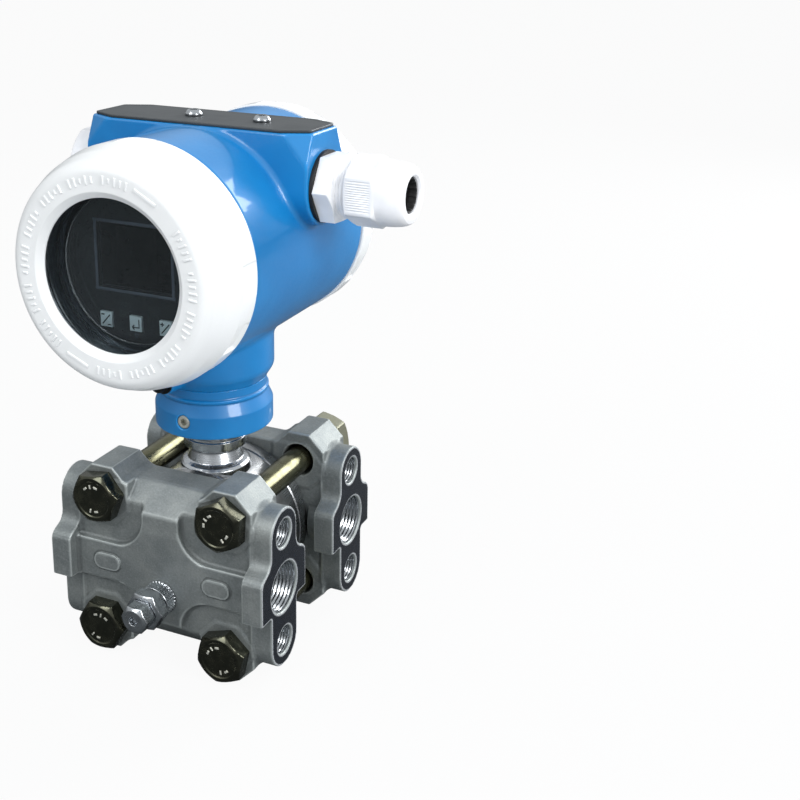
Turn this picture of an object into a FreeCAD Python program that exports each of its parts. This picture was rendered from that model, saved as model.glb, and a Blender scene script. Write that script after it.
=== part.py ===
import FreeCAD, Part
import math
import os

import Sketcher
from FreeCAD import Placement, Rotation, Vector

# Driving dimensions in millimetres. Y runs from the display (-) to the rear cover (+),
# X from the blind plug (-) to the cable gland (+), Z up.
SIZES = {
    # process side: sensor cell, two flanges, their bolts
    "cell_radius": 28.9,
    "cell_thickness": 37,
    "diaphragm_radius": 17.4,
    "diaphragm_thickness": 0.3,
    "diaphragm_recess": 0.8,
    "spigot_radius": 11.6,
    "spigot_shown": 10.1,
    "spigot_hidden": 22.9,
    "stem_radius": 8.5,
    "stem_length": 6.1,
    "port_spacing": 54,
    "port_radius": 9,
    "port_depth": 13.2,
    "port_wall": 1.6,
    "port_boss_gap": 0.4,
    "port_point": 3.6,
    "passage_radius": 3,
    "tapping_spacing": 41.3,
    "manifold_tapping_radius": 5,
    "bracket_tapping_radius": 4.3,
    "tapping_depth": 10,
    "tapping_point": 2.6,
    "flange_length": 86,
    "flange_thickness": 20,
    "flange_height": 62,
    "core_length": 71,
    "core_shoulder": 24,
    "top_chamfer": 9,
    "bottom_chamfer": 12,
    "pad_depth": 8,
    "pad_width": 32,
    "pad_top": 10,
    "pad_bottom": 7.5,
    "lobe_radius": 9.2,
    "lobe_step": 5,
    "band_half_width": 7.5,
    "recess_corner": 12,
    "recess_depth": 2.5,
    "marker_offset": 22.4,
    "marker_length": 11,
    "marker_height": 6.4,
    "marker_rise": 0.6,
    "chamber_margin": 0.4,
    "chamber_depth": 2,
    "gasket_margin": 1.7,
    "gasket_width": 4,
    "gasket_depth": 1.5,
    "bolt_offset_x": 24.9,
    "bolt_offset_z": 25.2,
    "bolt_boss_width": 21.2,
    "bolt_radius": 5,
    "bolt_hole_radius": 6.2,
    "bolt_head_width": 17,
    "bolt_head_height": 6,
    "bolt_nut_height": 9,
    "bolt_tip": 1.5,
    # vent valves
    "vent_drop": 8.5,
    "vent_thread_radius": 5,
    "vent_thread_length": 9,
    "vent_collar_radius": 6.5,
    "vent_collar_length": 6,
    "vent_hex_width": 12.7,
    "vent_hex_length": 5.5,
    "vent_stem_width": 9.5,
    "vent_stem_length": 6,
    "vent_stem_radius": 3,
    "vent_drain_radius": 1.5,
    # housing casting
    "housing_radius": 40,
    "housing_front": 37.9,
    "housing_rear": 41.6,
    "housing_wall": 6,
    "cover_bore_step": 2,
    "cover_bore_depth": 10,
    "mid_wall_front": 6,
    "mid_wall_rear": 2,
    "wire_hole_radius": 4,
    "wire_hole_rise": 8,
    "saddle_centre": 3,
    "saddle_half_width": 13.5,
    "saddle_overhang": 3.5,
    "saddle_rise": 0.4,
    "conduit_depth": 19.1,
    "conduit_radius": 8,
    "facet_length": 9,
    "facet_width": 4.6,
    "facet_drop": 10.5,
    "collar_radius": 21.4,
    "collar_height": 8.5,
    "ledge_height": 4.2,
    "waist_radius": 19.2,
    "waist_height": 4.2,
    "neck_radius": 22,
    "neck_flare_height": 4.8,
    "neck_height": 7.7,
    "neck_passage_radius": 2.8,
    "neck_passage_wall": 0.4,
    "grub_rise": 5.9,
    "grub_radius": 2.5,
    "ground_rise": 0.8,
    "ground_boss_radius": 5,
    "ground_boss_height": 4.5,
    "ground_screw_radius": 2,
    "ground_head_radius": 3.6,
    "ground_head_height": 3.4,
    "plate_thickness": 1,
    "plate_margin": 1,
    "plate_end_half": 8.6,
    "plate_screw_centre": 6,
    "plate_screw_spacing": 27,
    "plate_screw_radius": 1.5,
    "plate_screw_head_radius": 3.2,
    "plate_screw_head_height": 2.3,
    # covers
    "cover_gap": 0.3,
    "cover_overhang": 0.6,
    "lug_rise": 1,
    "lug_length": 7,
    "lug_rim": 1.2,
    "cover_shoulder": 54,
    "cover_shoulder_draft": 1.6,
    "bezel_draft": 5,
    "bezel_face": 61.7,
    "bezel_round": 5,
    "bezel_lip": 1.8,
    "window_recess": 3,
    "glass_seat": 4.3,
    "glass_rim": 3.1,
    "glass_clearance": 0.1,
    "glass_thickness": 5,
    "ring_thickness": 3,
    "ring_width": 3,
    "cover_wall": 3.35,
    "cover_spigot_length": 8,
    "thread_clearance": 0.05,
    "seal_thickness": 2,
    "seal_depth": 1.5,
    "rear_cover_depth": 14,
    "rear_cover_round": 4,
    "rear_cover_wall": 4,
    # display stack and electronics
    "display_face": 46.5,
    "display_clearance": 1.6,
    "display_rim": 5.5,
    "display_step": 1.6,
    "display_thickness": 5,
    "lcd_width": 27.6,
    "lcd_height": 21.5,
    "lcd_rise": 2.8,
    "lcd_recess": 1.2,
    "lcd_thickness": 2,
    "lcd_clearance": 0.2,
    "key_spacing": 11.4,
    "key_drop": 19,
    "key_width": 4.6,
    "key_height": 5.1,
    "key_rise": 0.6,
    "key_depth": 2.6,
    "key_clearance": 0.15,
    "key_pocket_depth": 3.4,
    "board_margin": 1,
    "board_thickness": 1.6,
    "chamber_clearance": 3,
    "module_depth": 26,
    "pillar_radius": 2.5,
    "pillar_inset": 4,
    "terminal_thickness": 12,
    "terminal_spacing": 14,
    "terminal_head_radius": 4,
    "terminal_head_height": 3,
    "terminal_well_radius": 5,
    "terminal_well_depth": 5,
    # cable gland and blind plug
    "gland_washer_radius": 12.4,
    "gland_washer_thickness": 1.2,
    "gland_hex_width": 22,
    "gland_hex_length": 6.3,
    "gland_thread_radius": 10.2,
    "gland_neck_length": 4.2,
    "gland_thread_length": 10,
    "gland_entry_length": 11,
    "gland_bore_radius": 6.4,
    "gland_nut_length": 11,
    "gland_dome_length": 9.5,
    "gland_dome_radius": 8.6,
    "gland_mouth_radius": 6.2,
    "gland_seal_radius": 7.6,
    "gland_seal_bore": 5,
    "gland_seal_length": 13,
    "plug_width": 25,
    "plug_length": 8,
    "plug_round": 2.5,
}

HEX_CORNER = 1 / math.cos(math.pi / 6)
RECESS_OVERSHOOT = 1
DIAPHRAGM_WAVES = 4
CHAMBER_EDGE = 0.7
LUG_COUNT = 12
LUG_HALF_ANGLE = 7.5
PILLAR_COUNT = 3
PILLAR_TURN = 90
GROUND_TURN = -10


class Size:
    """A length with its value and the spreadsheet expression that gives it."""

    def __init__(self, value, text):
        self.value = value
        self.text = text

    def __add__(self, other):
        other = as_size(other)
        return Size(self.value + other.value, "(%s + %s)" % (self.text, other.text))

    def __sub__(self, other):
        other = as_size(other)
        return Size(self.value - other.value, "(%s - %s)" % (self.text, other.text))

    def __mul__(self, factor):
        return Size(self.value * factor, "%s * %.9f" % (self.text, factor))

    def __truediv__(self, divisor):
        return Size(self.value / divisor, "%s / %.9f" % (self.text, divisor))

    def __neg__(self):
        return self * -1

    __radd__ = __add__


def as_size(number):
    """Return number as a Size, so that plain numbers can join an expression."""
    return number if isinstance(number, Size) else Size(number, "(%.9f)" % number)


class Sizes:
    """The spreadsheet: each attribute is the Size of the cell with that alias."""

    def __init__(self, document, table):
        self._cells = {}
        sheet = document.addObject("Spreadsheet::Sheet", "Sizes")
        for row, (alias, number) in enumerate(table.items(), start=1):
            sheet.set("A%d" % row, alias)
            sheet.set("B%d" % row, str(number))
            sheet.setAlias("B%d" % row, alias)
            self._cells[alias] = Size(float(number), "Sizes." + alias)
        document.recompute()

    def __getattr__(self, alias):
        return self._cells[alias]


doc = FreeCAD.newDocument("PressureTransmitter")
s = Sizes(doc, SIZES)
ZERO = as_size(0)

# Radii that follow one another outwards or inwards from the housing's barrel.
saddle_half_length = s.housing_radius + s.saddle_overhang
saddle_top = s.housing_radius + s.saddle_rise
conduit_rise = saddle_top - s.conduit_depth
chamber_bore_radius = s.housing_radius - s.housing_wall
cover_bore_radius = chamber_bore_radius + s.cover_bore_step
cover_radius = s.housing_radius + s.cover_overhang
cover_spigot_radius = cover_bore_radius - s.thread_clearance
cover_cavity_radius = cover_spigot_radius - s.cover_wall
glass_radius = cover_cavity_radius - s.glass_rim
window_radius = glass_radius - s.glass_seat
display_radius = cover_cavity_radius - s.display_clearance
display_inner_radius = display_radius - s.display_rim
module_radius = chamber_bore_radius - s.chamber_clearance
# Radii of the sensor cell's seals.
chamber_radius = s.diaphragm_radius + s.chamber_margin
gasket_inner = chamber_radius + s.gasket_margin
gasket_outer = gasket_inner + s.gasket_width
# Heights above the port centreline, from the sensor cell up to the barrel.
spigot_bottom = s.cell_radius + s.stem_length
collar_bottom = spigot_bottom + s.spigot_shown
spigot_top = collar_bottom + s.spigot_hidden
collar_top = collar_bottom + s.collar_height
waist_bottom = collar_top + s.ledge_height
waist_top = waist_bottom + s.waist_height
neck_step = waist_top + s.neck_flare_height
axis_height = neck_step + s.neck_height + s.housing_radius
grub_height = collar_bottom + s.grub_rise
ground_height = neck_step + s.ground_rise
ground_reach = s.neck_radius + s.ground_boss_height
# Places worked out from the sizes.
port_y = s.port_spacing / 2
tapping_z = s.tapping_spacing / 2
flange_end = s.flange_length / 2
flange_top = s.flange_height / 2
inner_y = s.cell_thickness / 2
outer_y = inner_y + s.flange_thickness
seat_y = outer_y - s.recess_depth
boss_half = s.bolt_boss_width / 2
port_height = s.bolt_offset_z + boss_half
axis_z = port_height + axis_height
saddle_top_z = axis_z + saddle_top
conduit_z = axis_z + conduit_rise
vent_tip = outer_y + s.vent_collar_length + s.vent_hex_length + s.vent_stem_length
gland_start = saddle_half_length + s.gland_washer_thickness
gland_nut_start = gland_start + s.gland_hex_length + s.gland_neck_length
gland_end = gland_nut_start + s.gland_nut_length + s.gland_dome_length
plug_end = gland_start + s.plug_length
# The frame's origin is under the middle of the whole part.
shift_x = (plug_end - gland_end) / 2
shift_y = (s.bezel_face - vent_tip) / 2


def bind(feature, **values):
    """Set each named property of feature from its Size."""
    for name, size in values.items():
        feature.setExpression(name, size.text)


def put(thing, x=ZERO, y=ZERO, z=ZERO, rotation=None):
    """Place thing at x, y, z in the neck's frame, moved over to the part's frame."""
    if rotation is not None:
        thing.Placement = Placement(Vector(), rotation)
    thing.setExpression("Placement.Base.x", (x + shift_x).text)
    thing.setExpression("Placement.Base.y", (y + shift_y).text)
    thing.setExpression("Placement.Base.z", z.text)


def new_body(label, x=ZERO, y=ZERO, z=ZERO, rotation=None):
    """Return a PartDesign body named label with its origin at x, y, z."""
    body = doc.addObject("PartDesign::Body", label)
    body.Label = label
    put(body, x, y, z, rotation)
    return body


def origin_feature(body, role):
    """Return the body's own origin plane or axis with this role."""
    return next(item for item in body.Origin.OriginFeatures if item.Role == role)


def new_sketch(body, role, offset=ZERO, turn=0):
    """Return an empty sketch on an origin plane, moved by offset along its normal.

    With turn in degrees, plane and offset are first turned about the sketch's upright.
    """
    sketch = body.newObject("Sketcher::SketchObject", "Sketch")
    sketch.AttachmentSupport = (origin_feature(body, role), [""])
    sketch.MapMode = "FlatFace"
    if turn:
        angle = math.radians(turn)
        sketch.AttachmentOffset = Placement(Vector(), Rotation(Vector(0, 1, 0), turn))
        sketch.setExpression("AttachmentOffset.Base.x", (offset * math.sin(angle)).text)
        offset = offset * math.cos(angle)
    sketch.setExpression("AttachmentOffset.Base.z", offset.text)
    return sketch


def fix_point(sketch, geometry, point, u, v):
    """Hold one point of the sketch at u, v from its origin."""
    for kind, size in (("DistanceX", u), ("DistanceY", v)):
        constraint = Sketcher.Constraint(kind, -1, 1, geometry, point, size.value)
        index = sketch.addConstraint(constraint)
        sketch.setExpression("Constraints[%d]" % index, size.text)


def arc_between(start, end, radius):
    """Return the arc of radius from start to end, anticlockwise if radius is positive."""
    middle = (start + end) / 2
    chord = end - start
    half = chord.Length / 2
    reach = math.sqrt(max(radius * radius - half * half, 0))
    side = 1 if radius > 0 else -1
    centre = middle + Vector(-chord.y, chord.x, 0).normalize() * reach * side
    first, last = (start, end) if radius > 0 else (end, start)
    angles = [math.atan2(p.y - centre.y, p.x - centre.x) for p in (first, last)]
    circle = Part.Circle(centre, Vector(0, 0, 1), abs(radius))
    return Part.ArcOfCircle(circle, angles[0], angles[1])


def draw_outline(sketch, corners):
    """Draw a closed outline through corners.

    A corner is (u, v), reached by a straight line, or (u, v, radius), reached by an
    arc: anticlockwise when radius is positive, clockwise when it is negative.
    """
    points = [Vector(corner[0].value, corner[1].value, 0) for corner in corners]
    ends = []
    for index, corner in enumerate(corners):
        start = points[index - 1]
        end = points[index]
        if len(corner) == 2:
            geometry = sketch.addGeometry(Part.LineSegment(start, end), False)
            ends.append((geometry, 1, 2))
            continue
        radius = corner[2]
        geometry = sketch.addGeometry(arc_between(start, end, radius.value), False)
        ends.append((geometry, 1, 2) if radius.value > 0 else (geometry, 2, 1))
        size = radius if radius.value > 0 else -radius
        index_radius = sketch.addConstraint(Sketcher.Constraint("Radius", geometry, size.value))
        sketch.setExpression("Constraints[%d]" % index_radius, size.text)
    for index, corner in enumerate(corners):
        geometry, _, last = ends[index]
        following, first, _ = ends[(index + 1) % len(corners)]
        sketch.addConstraint(Sketcher.Constraint("Coincident", geometry, last, following, first))
        fix_point(sketch, geometry, last, corner[0], corner[1])


def draw_circle(sketch, u, v, radius):
    """Draw a circle of radius about u, v."""
    circle = Part.Circle(Vector(u.value, v.value, 0), Vector(0, 0, 1), radius.value)
    geometry = sketch.addGeometry(circle, False)
    index = sketch.addConstraint(Sketcher.Constraint("Radius", geometry, radius.value))
    sketch.setExpression("Constraints[%d]" % index, radius.text)
    fix_point(sketch, geometry, 3, u, v)


def draw_box(sketch, u_low, u_high, v_low, v_high):
    """Draw a rectangle between the given sides."""
    draw_outline(sketch, [(u_high, v_low), (u_high, v_high), (u_low, v_high), (u_low, v_low)])


def draw_polygon(sketch, u, v, across_flats, sides, first_degrees):
    """Draw a regular polygon about u, v with one corner at first_degrees."""
    corner = across_flats / 2 / math.cos(math.pi / sides)
    corners = []
    for index in range(sides):
        angle = math.radians(first_degrees + 360 * index / sides)
        corners.append((u + corner * math.cos(angle), v + corner * math.sin(angle)))
    draw_outline(sketch, corners)


def draw_slot(sketch, u, v, half_length, radius):
    """Draw a slot along u with round ends about u, v."""
    straight = half_length - radius
    left, right = u - straight, u + straight
    draw_outline(sketch, [
        (right, v - radius),
        (right + radius, v, radius),
        (right, v + radius, radius),
        (left, v + radius),
        (left - radius, v, radius),
        (left, v - radius, radius),
    ])


def extrude(body, kind, sketch, length, reverse=False, midplane=False):
    """Pad or pocket a sketch by length and return the feature."""
    feature = body.newObject("PartDesign::" + kind, kind)
    feature.Profile = sketch
    feature.Reversed = reverse
    if midplane:
        feature.Midplane = True
    bind(feature, Length=length)
    return feature


def turn_outline(body, kind, sketch, axis, corners):
    """Add (Revolution) or cut (Groove) a full turn of an outline about a sketch axis."""
    draw_outline(sketch, corners)
    feature = body.newObject("PartDesign::" + kind, kind)
    feature.Profile = sketch
    feature.ReferenceAxis = (sketch, [axis])
    feature.Angle = 360
    return feature


def turned_y(body, corners, kind="Revolution"):
    """Turn an outline of (y, radius) corners about the body's Y axis."""
    return turn_outline(body, kind, new_sketch(body, "YZ_Plane"), "H_Axis", corners)


def turned_z(body, corners, kind="Revolution"):
    """Turn an outline of (radius, z) corners about the body's Z axis."""
    return turn_outline(body, kind, new_sketch(body, "XZ_Plane"), "V_Axis", corners)


def turned_x(body, corners, kind="Revolution", y=ZERO, z=ZERO):
    """Turn an outline of (x, radius) corners about a line along X through y, z."""
    sketch = new_sketch(body, "XZ_Plane", -y)
    sketch.setExpression("AttachmentOffset.Base.y", z.text)
    return turn_outline(body, kind, sketch, "H_Axis", corners)


def ring(body, low, high, inner, outer, turned=turned_y, kind="Revolution"):
    """Turn a plain rectangle between two radii and two places along the axis."""
    corners = [(low, inner), (high, inner), (high, outer), (low, outer)]
    return turned(body, corners, kind)


def mirrored(body, features, plane_role):
    """Mirror features across an origin plane of the body."""
    mirror = body.newObject("PartDesign::Mirrored", "Mirrored")
    mirror.Originals = features
    mirror.MirrorPlane = (origin_feature(body, plane_role), [""])
    body.Tip = mirror
    return mirror


def bolt_places():
    """Return the x, z of the four flange bolts."""
    places = []
    for side in (-1, 1):
        for level in (-1, 1):
            places.append((s.bolt_offset_x * side, s.bolt_offset_z * level))
    return places


def process_body(label, rotation=None):
    """Return a body whose origin is on the port centreline under the neck."""
    return new_body(label, z=port_height, rotation=rotation)


def housing_body(label):
    """Return a body whose origin is on the covers' axis over the neck."""
    return new_body(label, z=axis_z)


def conduit_body(label):
    """Return a body whose origin is on the cable entries' axis."""
    return new_body(label, y=s.saddle_centre, z=conduit_z)


def make_sensor_module():
    """Turn the cell, its stem and the threaded spigot, and sink the diaphragm seats."""
    body = process_body("sensor_module")
    bevel = s.diaphragm_recess
    turned_y(body, [
        (-inner_y, ZERO),
        (inner_y, ZERO),
        (inner_y, s.cell_radius - bevel),
        (inner_y - bevel, s.cell_radius),
        (bevel - inner_y, s.cell_radius),
        (-inner_y, s.cell_radius - bevel),
    ])
    flare = s.stem_radius / 2
    buried = s.cell_radius - flare
    turned_z(body, [
        (ZERO, buried),
        (s.stem_radius + flare, buried),
        (s.stem_radius + flare, s.cell_radius - bevel / 2),
        (s.stem_radius, spigot_bottom - bevel, -flare * 1.2),
        (s.stem_radius, spigot_bottom),
        (s.spigot_radius - bevel, spigot_bottom),
        (s.spigot_radius, spigot_bottom + bevel),
        (s.spigot_radius, spigot_top - bevel),
        (s.spigot_radius - bevel, spigot_top),
        (ZERO, spigot_top),
    ])
    seat = s.diaphragm_radius + s.thread_clearance
    for low, high in ((-inner_y, bevel - inner_y), (inner_y - bevel, inner_y)):
        ring(body, low, high, ZERO, seat, kind="Groove")
    seal_low = collar_bottom + s.seal_thickness
    ring(body, s.spigot_radius - s.seal_depth, s.spigot_radius + RECESS_OVERSHOOT,
         seal_low, seal_low + s.seal_thickness, turned=turned_z, kind="Groove")


def make_neck_seal():
    """Turn the O-ring that fills the spigot's groove."""
    body = process_body("neck_seal")
    seal_low = collar_bottom + s.seal_thickness
    ring(body, s.spigot_radius - s.seal_depth, s.spigot_radius,
         seal_low, seal_low + s.seal_thickness, turned=turned_z)


def make_isolating_diaphragms():
    """Turn the two thin corrugated discs that meet the process fluid."""
    body = process_body("isolating_diaphragms")
    back = inner_y - s.diaphragm_recess
    front = back + s.diaphragm_thickness
    pitch = s.diaphragm_radius / (2 * DIAPHRAGM_WAVES + 1)
    for side in (-1, 1):
        corners = [(back * side, ZERO), (back * side, s.diaphragm_radius)]
        for step in range(2 * DIAPHRAGM_WAVES + 1):
            radius = s.diaphragm_radius - pitch * step
            level = front + s.diaphragm_thickness * 0.5 * (step % 2)
            corners.append((level * side, radius))
        corners.append((front * side, ZERO))
        turned_y(body, corners)


def make_flange_gaskets():
    """Turn the two flat gaskets between the cell and the flanges."""
    body = process_body("flange_gaskets")
    for side in (-1, 1):
        low, high = sorted((inner_y * side, (inner_y + s.gasket_depth) * side),
                           key=lambda size: size.value)
        ring(body, low, high, gasket_inner, gasket_outer)


def flange_core(body):
    """Pad the flange's plate and its four octagonal bolt bosses."""
    sketch = new_sketch(body, "XZ_Plane", inner_y)
    half = s.core_length / 2
    slope = flange_top - s.core_shoulder
    draw_outline(sketch, [
        (half, -s.core_shoulder),
        (half, s.core_shoulder),
        (half - slope, flange_top),
        (slope - half, flange_top),
        (-half, s.core_shoulder),
        (-half, -s.core_shoulder),
        (slope - half, -flange_top),
        (half - slope, -flange_top),
    ])
    extrude(body, "Pad", sketch, seat_y - inner_y)


def flange_band(body):
    """Pad the raised cross band whose arms run between the bolt seats."""
    sketch = new_sketch(body, "XZ_Plane", seat_y)
    half = s.core_length / 2
    arm = s.band_half_width
    bend = s.recess_corner
    corners = []
    for side_u, side_v in ((1, 1), (-1, 1), (-1, -1), (1, -1)):
        along = ((half * side_u, arm * side_v), (arm + bend) * side_u, arm * side_v)
        across = (arm * side_u, (arm + bend) * side_v)
        tip = (arm * side_u, flange_top * side_v)
        if side_u == side_v:
            corners += [along[0], (along[1], along[2]), across + (-bend,), tip]
        else:
            corners += [tip, across, (along[1], along[2], -bend), along[0]]
    draw_outline(sketch, corners)
    extrude(body, "Pad", sketch, s.recess_depth)


def flange_slopes(body):
    """Cut the sloped faces above and below the band, between the bosses."""
    span = (s.bolt_offset_x - boss_half) * 2
    over = RECESS_OVERSHOOT
    for side, slope in ((1, s.top_chamfer), (-1, s.bottom_chamfer)):
        sketch = new_sketch(body, "YZ_Plane")
        face = -outer_y - over
        edge = (flange_top + over) * side
        draw_outline(sketch, [
            (face, edge),
            (face, (flange_top - slope - over) * side),
            (slope - outer_y + over, edge),
        ])
        extrude(body, "Pocket", sketch, span, midplane=True)


def flange_bosses(body):
    """Pad the octagonal bosses round the bolts, from the inner face to their seats."""
    sketch = new_sketch(body, "XZ_Plane", inner_y)
    for x, z in bolt_places():
        draw_polygon(sketch, x, z, s.bolt_boss_width, 8, 22.5)
    extrude(body, "Pad", sketch, seat_y - inner_y)


def flange_end_pads(body):
    """Pad the lobed connection pads on both ends of the flange."""
    sketch = new_sketch(body, "YZ_Plane", flange_end - s.pad_depth)
    outer = -port_y - s.pad_width / 2
    inner = s.pad_width / 2 - port_y
    lobe_out = -port_y - s.lobe_radius
    lobe_in = s.lobe_radius - port_y
    bend = lobe_out - outer
    draw_outline(sketch, [
        (outer, -s.pad_bottom),
        (lobe_out, -s.pad_bottom - s.lobe_step),
        (lobe_out, -tapping_z),
        (-port_y, -tapping_z - s.lobe_radius, s.lobe_radius),
        (lobe_in, -tapping_z, s.lobe_radius),
        (lobe_in, -s.pad_bottom - s.lobe_step),
        (inner, -s.pad_bottom),
        (inner, s.pad_top),
        (lobe_in, s.pad_top + bend, -bend),
        (lobe_in, tapping_z),
        (-port_y, tapping_z + s.lobe_radius, s.lobe_radius),
        (lobe_out, tapping_z, s.lobe_radius),
        (lobe_out, s.pad_top + bend),
        (outer, s.pad_top, -bend),
    ])
    pad = extrude(body, "Pad", sketch, s.pad_depth)
    mirrored(body, [pad], "YZ_Plane")


def flange_markers(body):
    """Pad the two low oval pads on the band."""
    sketch = new_sketch(body, "XZ_Plane", outer_y)
    for side in (-1, 1):
        draw_slot(sketch, s.marker_offset * side, ZERO, s.marker_length / 2, s.marker_height / 2)
    extrude(body, "Pad", sketch, s.marker_rise)


def flange_port_boss(body, side):
    """Turn the boss that closes the port's wall where it runs close to the inner face."""
    start = s.cell_radius + s.port_boss_gap
    end = flange_end - s.pad_depth / 2
    radius = s.port_radius + s.port_wall
    turned_x(body, [
        (start * side, ZERO),
        (start * side, radius),
        (end * side, radius),
        (end * side, ZERO),
    ], y=-port_y)


def drill_end(body, side, z, radius, depth, point, passage=False):
    """Drill one end face of the flange: a bore, its cone and, for a port, its passage."""
    floor = flange_end - depth
    corners = [(flange_end * side, ZERO), (flange_end * side, radius), (floor * side, radius)]
    if not passage:
        corners.append(((floor - point) * side, ZERO))
    else:
        passage_end = -s.passage_radius * side
        corners.append(((floor - point) * side, s.passage_radius))
        corners.append((passage_end, s.passage_radius))
        corners.append((passage_end, ZERO))
    turned_x(body, corners, kind="Groove", y=-port_y, z=z)


def flange_bores(body, port_side):
    """Cut the bolt holes, the process port, its passages and the tappings."""
    sketch = new_sketch(body, "XZ_Plane", inner_y)
    for x, z in bolt_places():
        draw_circle(sketch, x, z, s.bolt_hole_radius)
    extrude(body, "Pocket", sketch, s.flange_thickness, reverse=True)
    drill_end(body, port_side, ZERO, s.port_radius, s.port_depth, s.port_point, passage=True)
    tappings = {port_side: s.manifold_tapping_radius, -port_side: s.bracket_tapping_radius}
    for side, radius in tappings.items():
        for level in (-1, 1):
            drill_end(body, side, tapping_z * level, radius, s.tapping_depth, s.tapping_point)
    ring(body, -inner_y - s.chamber_depth, -inner_y, ZERO, chamber_radius, kind="Groove")
    ring(body, -port_y, -inner_y, ZERO, s.passage_radius * 0.8, kind="Groove")
    ring(body, -inner_y - s.gasket_depth, -inner_y, gasket_inner, gasket_outer, kind="Groove")
    sketch = new_sketch(body, "XZ_Plane", outer_y)
    draw_circle(sketch, ZERO, -s.vent_drop, s.vent_thread_radius)
    extrude(body, "Pocket", sketch, s.vent_thread_length)
    sketch = new_sketch(body, "XZ_Plane", outer_y)
    draw_circle(sketch, ZERO, -s.vent_drop, s.vent_drain_radius)
    extrude(body, "Pocket", sketch, s.flange_thickness)


def make_flange(label, port_side, rotation):
    """Build one cast flange as it stands in front; the rear one is turned half round."""
    body = process_body(label, rotation)
    flange_core(body)
    flange_band(body)
    flange_slopes(body)
    flange_bosses(body)
    flange_end_pads(body)
    flange_markers(body)
    flange_port_boss(body, port_side)
    flange_bores(body, port_side)


def hex_blank(label, across_flats, height, bevel_both=False):
    """Return a hexagon along Z from 0 to height with its outer corners bevelled."""
    corner = across_flats / 2 * HEX_CORNER
    prism = doc.addObject("Part::Prism", label + "_prism")
    prism.Polygon = 6
    bind(prism, Circumradius=corner, Height=height)
    cone = doc.addObject("Part::Cone", label + "_bevel")
    slant = across_flats / 2 * (HEX_CORNER - 1) * 0.6
    bind(cone, Radius1=across_flats / 2 + slant + height * 1.6, Radius2=across_flats / 2,
         Height=height)
    common = doc.addObject("Part::MultiCommon", label + "_hex")
    common.Shapes = [prism, cone]
    return common


def collect(label, members):
    """Group separate solids of one kind in a compound that gives the node its name."""
    group = doc.addObject("Part::Compound", label)
    group.Label = label
    group.Links = members
    return group


def make_flange_bolts():
    """Make the four through bolts with bevelled hexagon heads."""
    facing_front = Rotation(Vector(1, 0, 0), 90)
    facing_rear = Rotation(Vector(1, 0, 0), -90)
    bolts = []
    nuts = []
    length = seat_y * 2 + s.bolt_nut_height + s.bolt_tip
    for number, (x, z) in enumerate(bolt_places(), start=1):
        head = hex_blank("bolt_head_%d" % number, s.bolt_head_width, s.bolt_head_height)
        shank = doc.addObject("Part::Cylinder", "bolt_shank_%d" % number)
        bind(shank, Radius=s.bolt_radius, Height=length)
        shank.setExpression("Placement.Base.z", (-length).text)
        bolt = doc.addObject("Part::MultiFuse", "bolt_%d" % number)
        bolt.Shapes = [head, shank]
        put(bolt, x, -seat_y, z + port_height, facing_front)
        bolts.append(bolt)
        blank = hex_blank("nut_blank_%d" % number, s.bolt_head_width, s.bolt_nut_height)
        hole = doc.addObject("Part::Cylinder", "nut_hole_%d" % number)
        bind(hole, Radius=s.bolt_radius, Height=s.bolt_nut_height)
        nut = doc.addObject("Part::Cut", "nut_%d" % number)
        nut.Base = blank
        nut.Tool = hole
        put(nut, x, seat_y, z + port_height, facing_rear)
        nuts.append(nut)
    collect("flange_bolts", bolts)
    collect("flange_nuts", nuts)


def make_vent(prefix, rotation):
    """Make one vent valve: the screwed-in body and the turning stem."""
    collar_end = outer_y + s.vent_collar_length
    hex_end = collar_end + s.vent_hex_length
    body = new_body(prefix + "_vent_body", z=port_height - s.vent_drop, rotation=rotation)
    ring(body, -collar_end, -outer_y, ZERO, s.vent_collar_radius)
    ring(body, -outer_y, s.vent_thread_length - outer_y, ZERO, s.vent_thread_radius)
    sketch = new_sketch(body, "XZ_Plane", collar_end)
    draw_polygon(sketch, ZERO, ZERO, s.vent_hex_width, 6, 0)
    extrude(body, "Pad", sketch, s.vent_hex_length)
    bore = s.vent_stem_radius + s.thread_clearance
    ring(body, -hex_end, -outer_y, ZERO, bore, kind="Groove")
    ring(body, -outer_y, s.vent_thread_length - outer_y, ZERO, s.vent_drain_radius, kind="Groove")
    stem = new_body(prefix + "_vent_stem", z=port_height - s.vent_drop, rotation=rotation)
    sketch = new_sketch(stem, "XZ_Plane", hex_end)
    draw_polygon(sketch, ZERO, ZERO, s.vent_stem_width, 6, 0)
    extrude(stem, "Pad", sketch, s.vent_stem_length)
    ring(stem, -hex_end, -outer_y - s.thread_clearance, ZERO, s.vent_stem_radius)


def housing_barrel(body):
    """Turn the barrel between the two covers."""
    bevel = s.cover_gap
    turned_y(body, [
        (-s.housing_front, ZERO),
        (s.housing_rear, ZERO),
        (s.housing_rear, s.housing_radius - bevel),
        (s.housing_rear - bevel, s.housing_radius),
        (bevel - s.housing_front, s.housing_radius),
        (-s.housing_front, s.housing_radius - bevel),
    ])


def housing_saddle(body):
    """Pad the saddle that carries the cable entries, and cut its corner facets."""
    sketch = new_sketch(body, "YZ_Plane")
    half = s.saddle_half_width
    left = s.saddle_centre - half
    right = s.saddle_centre + half
    draw_outline(sketch, [
        (right, saddle_top),
        (left, saddle_top),
        (left, conduit_rise),
        (s.saddle_centre, conduit_rise - half, half),
        (right, conduit_rise, half),
    ])
    extrude(body, "Pad", sketch, saddle_half_length * 2, midplane=True)
    for side_x in (-1, 1):
        for side_y in (-1, 1):
            housing_facet(body, side_x, side_y)


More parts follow.
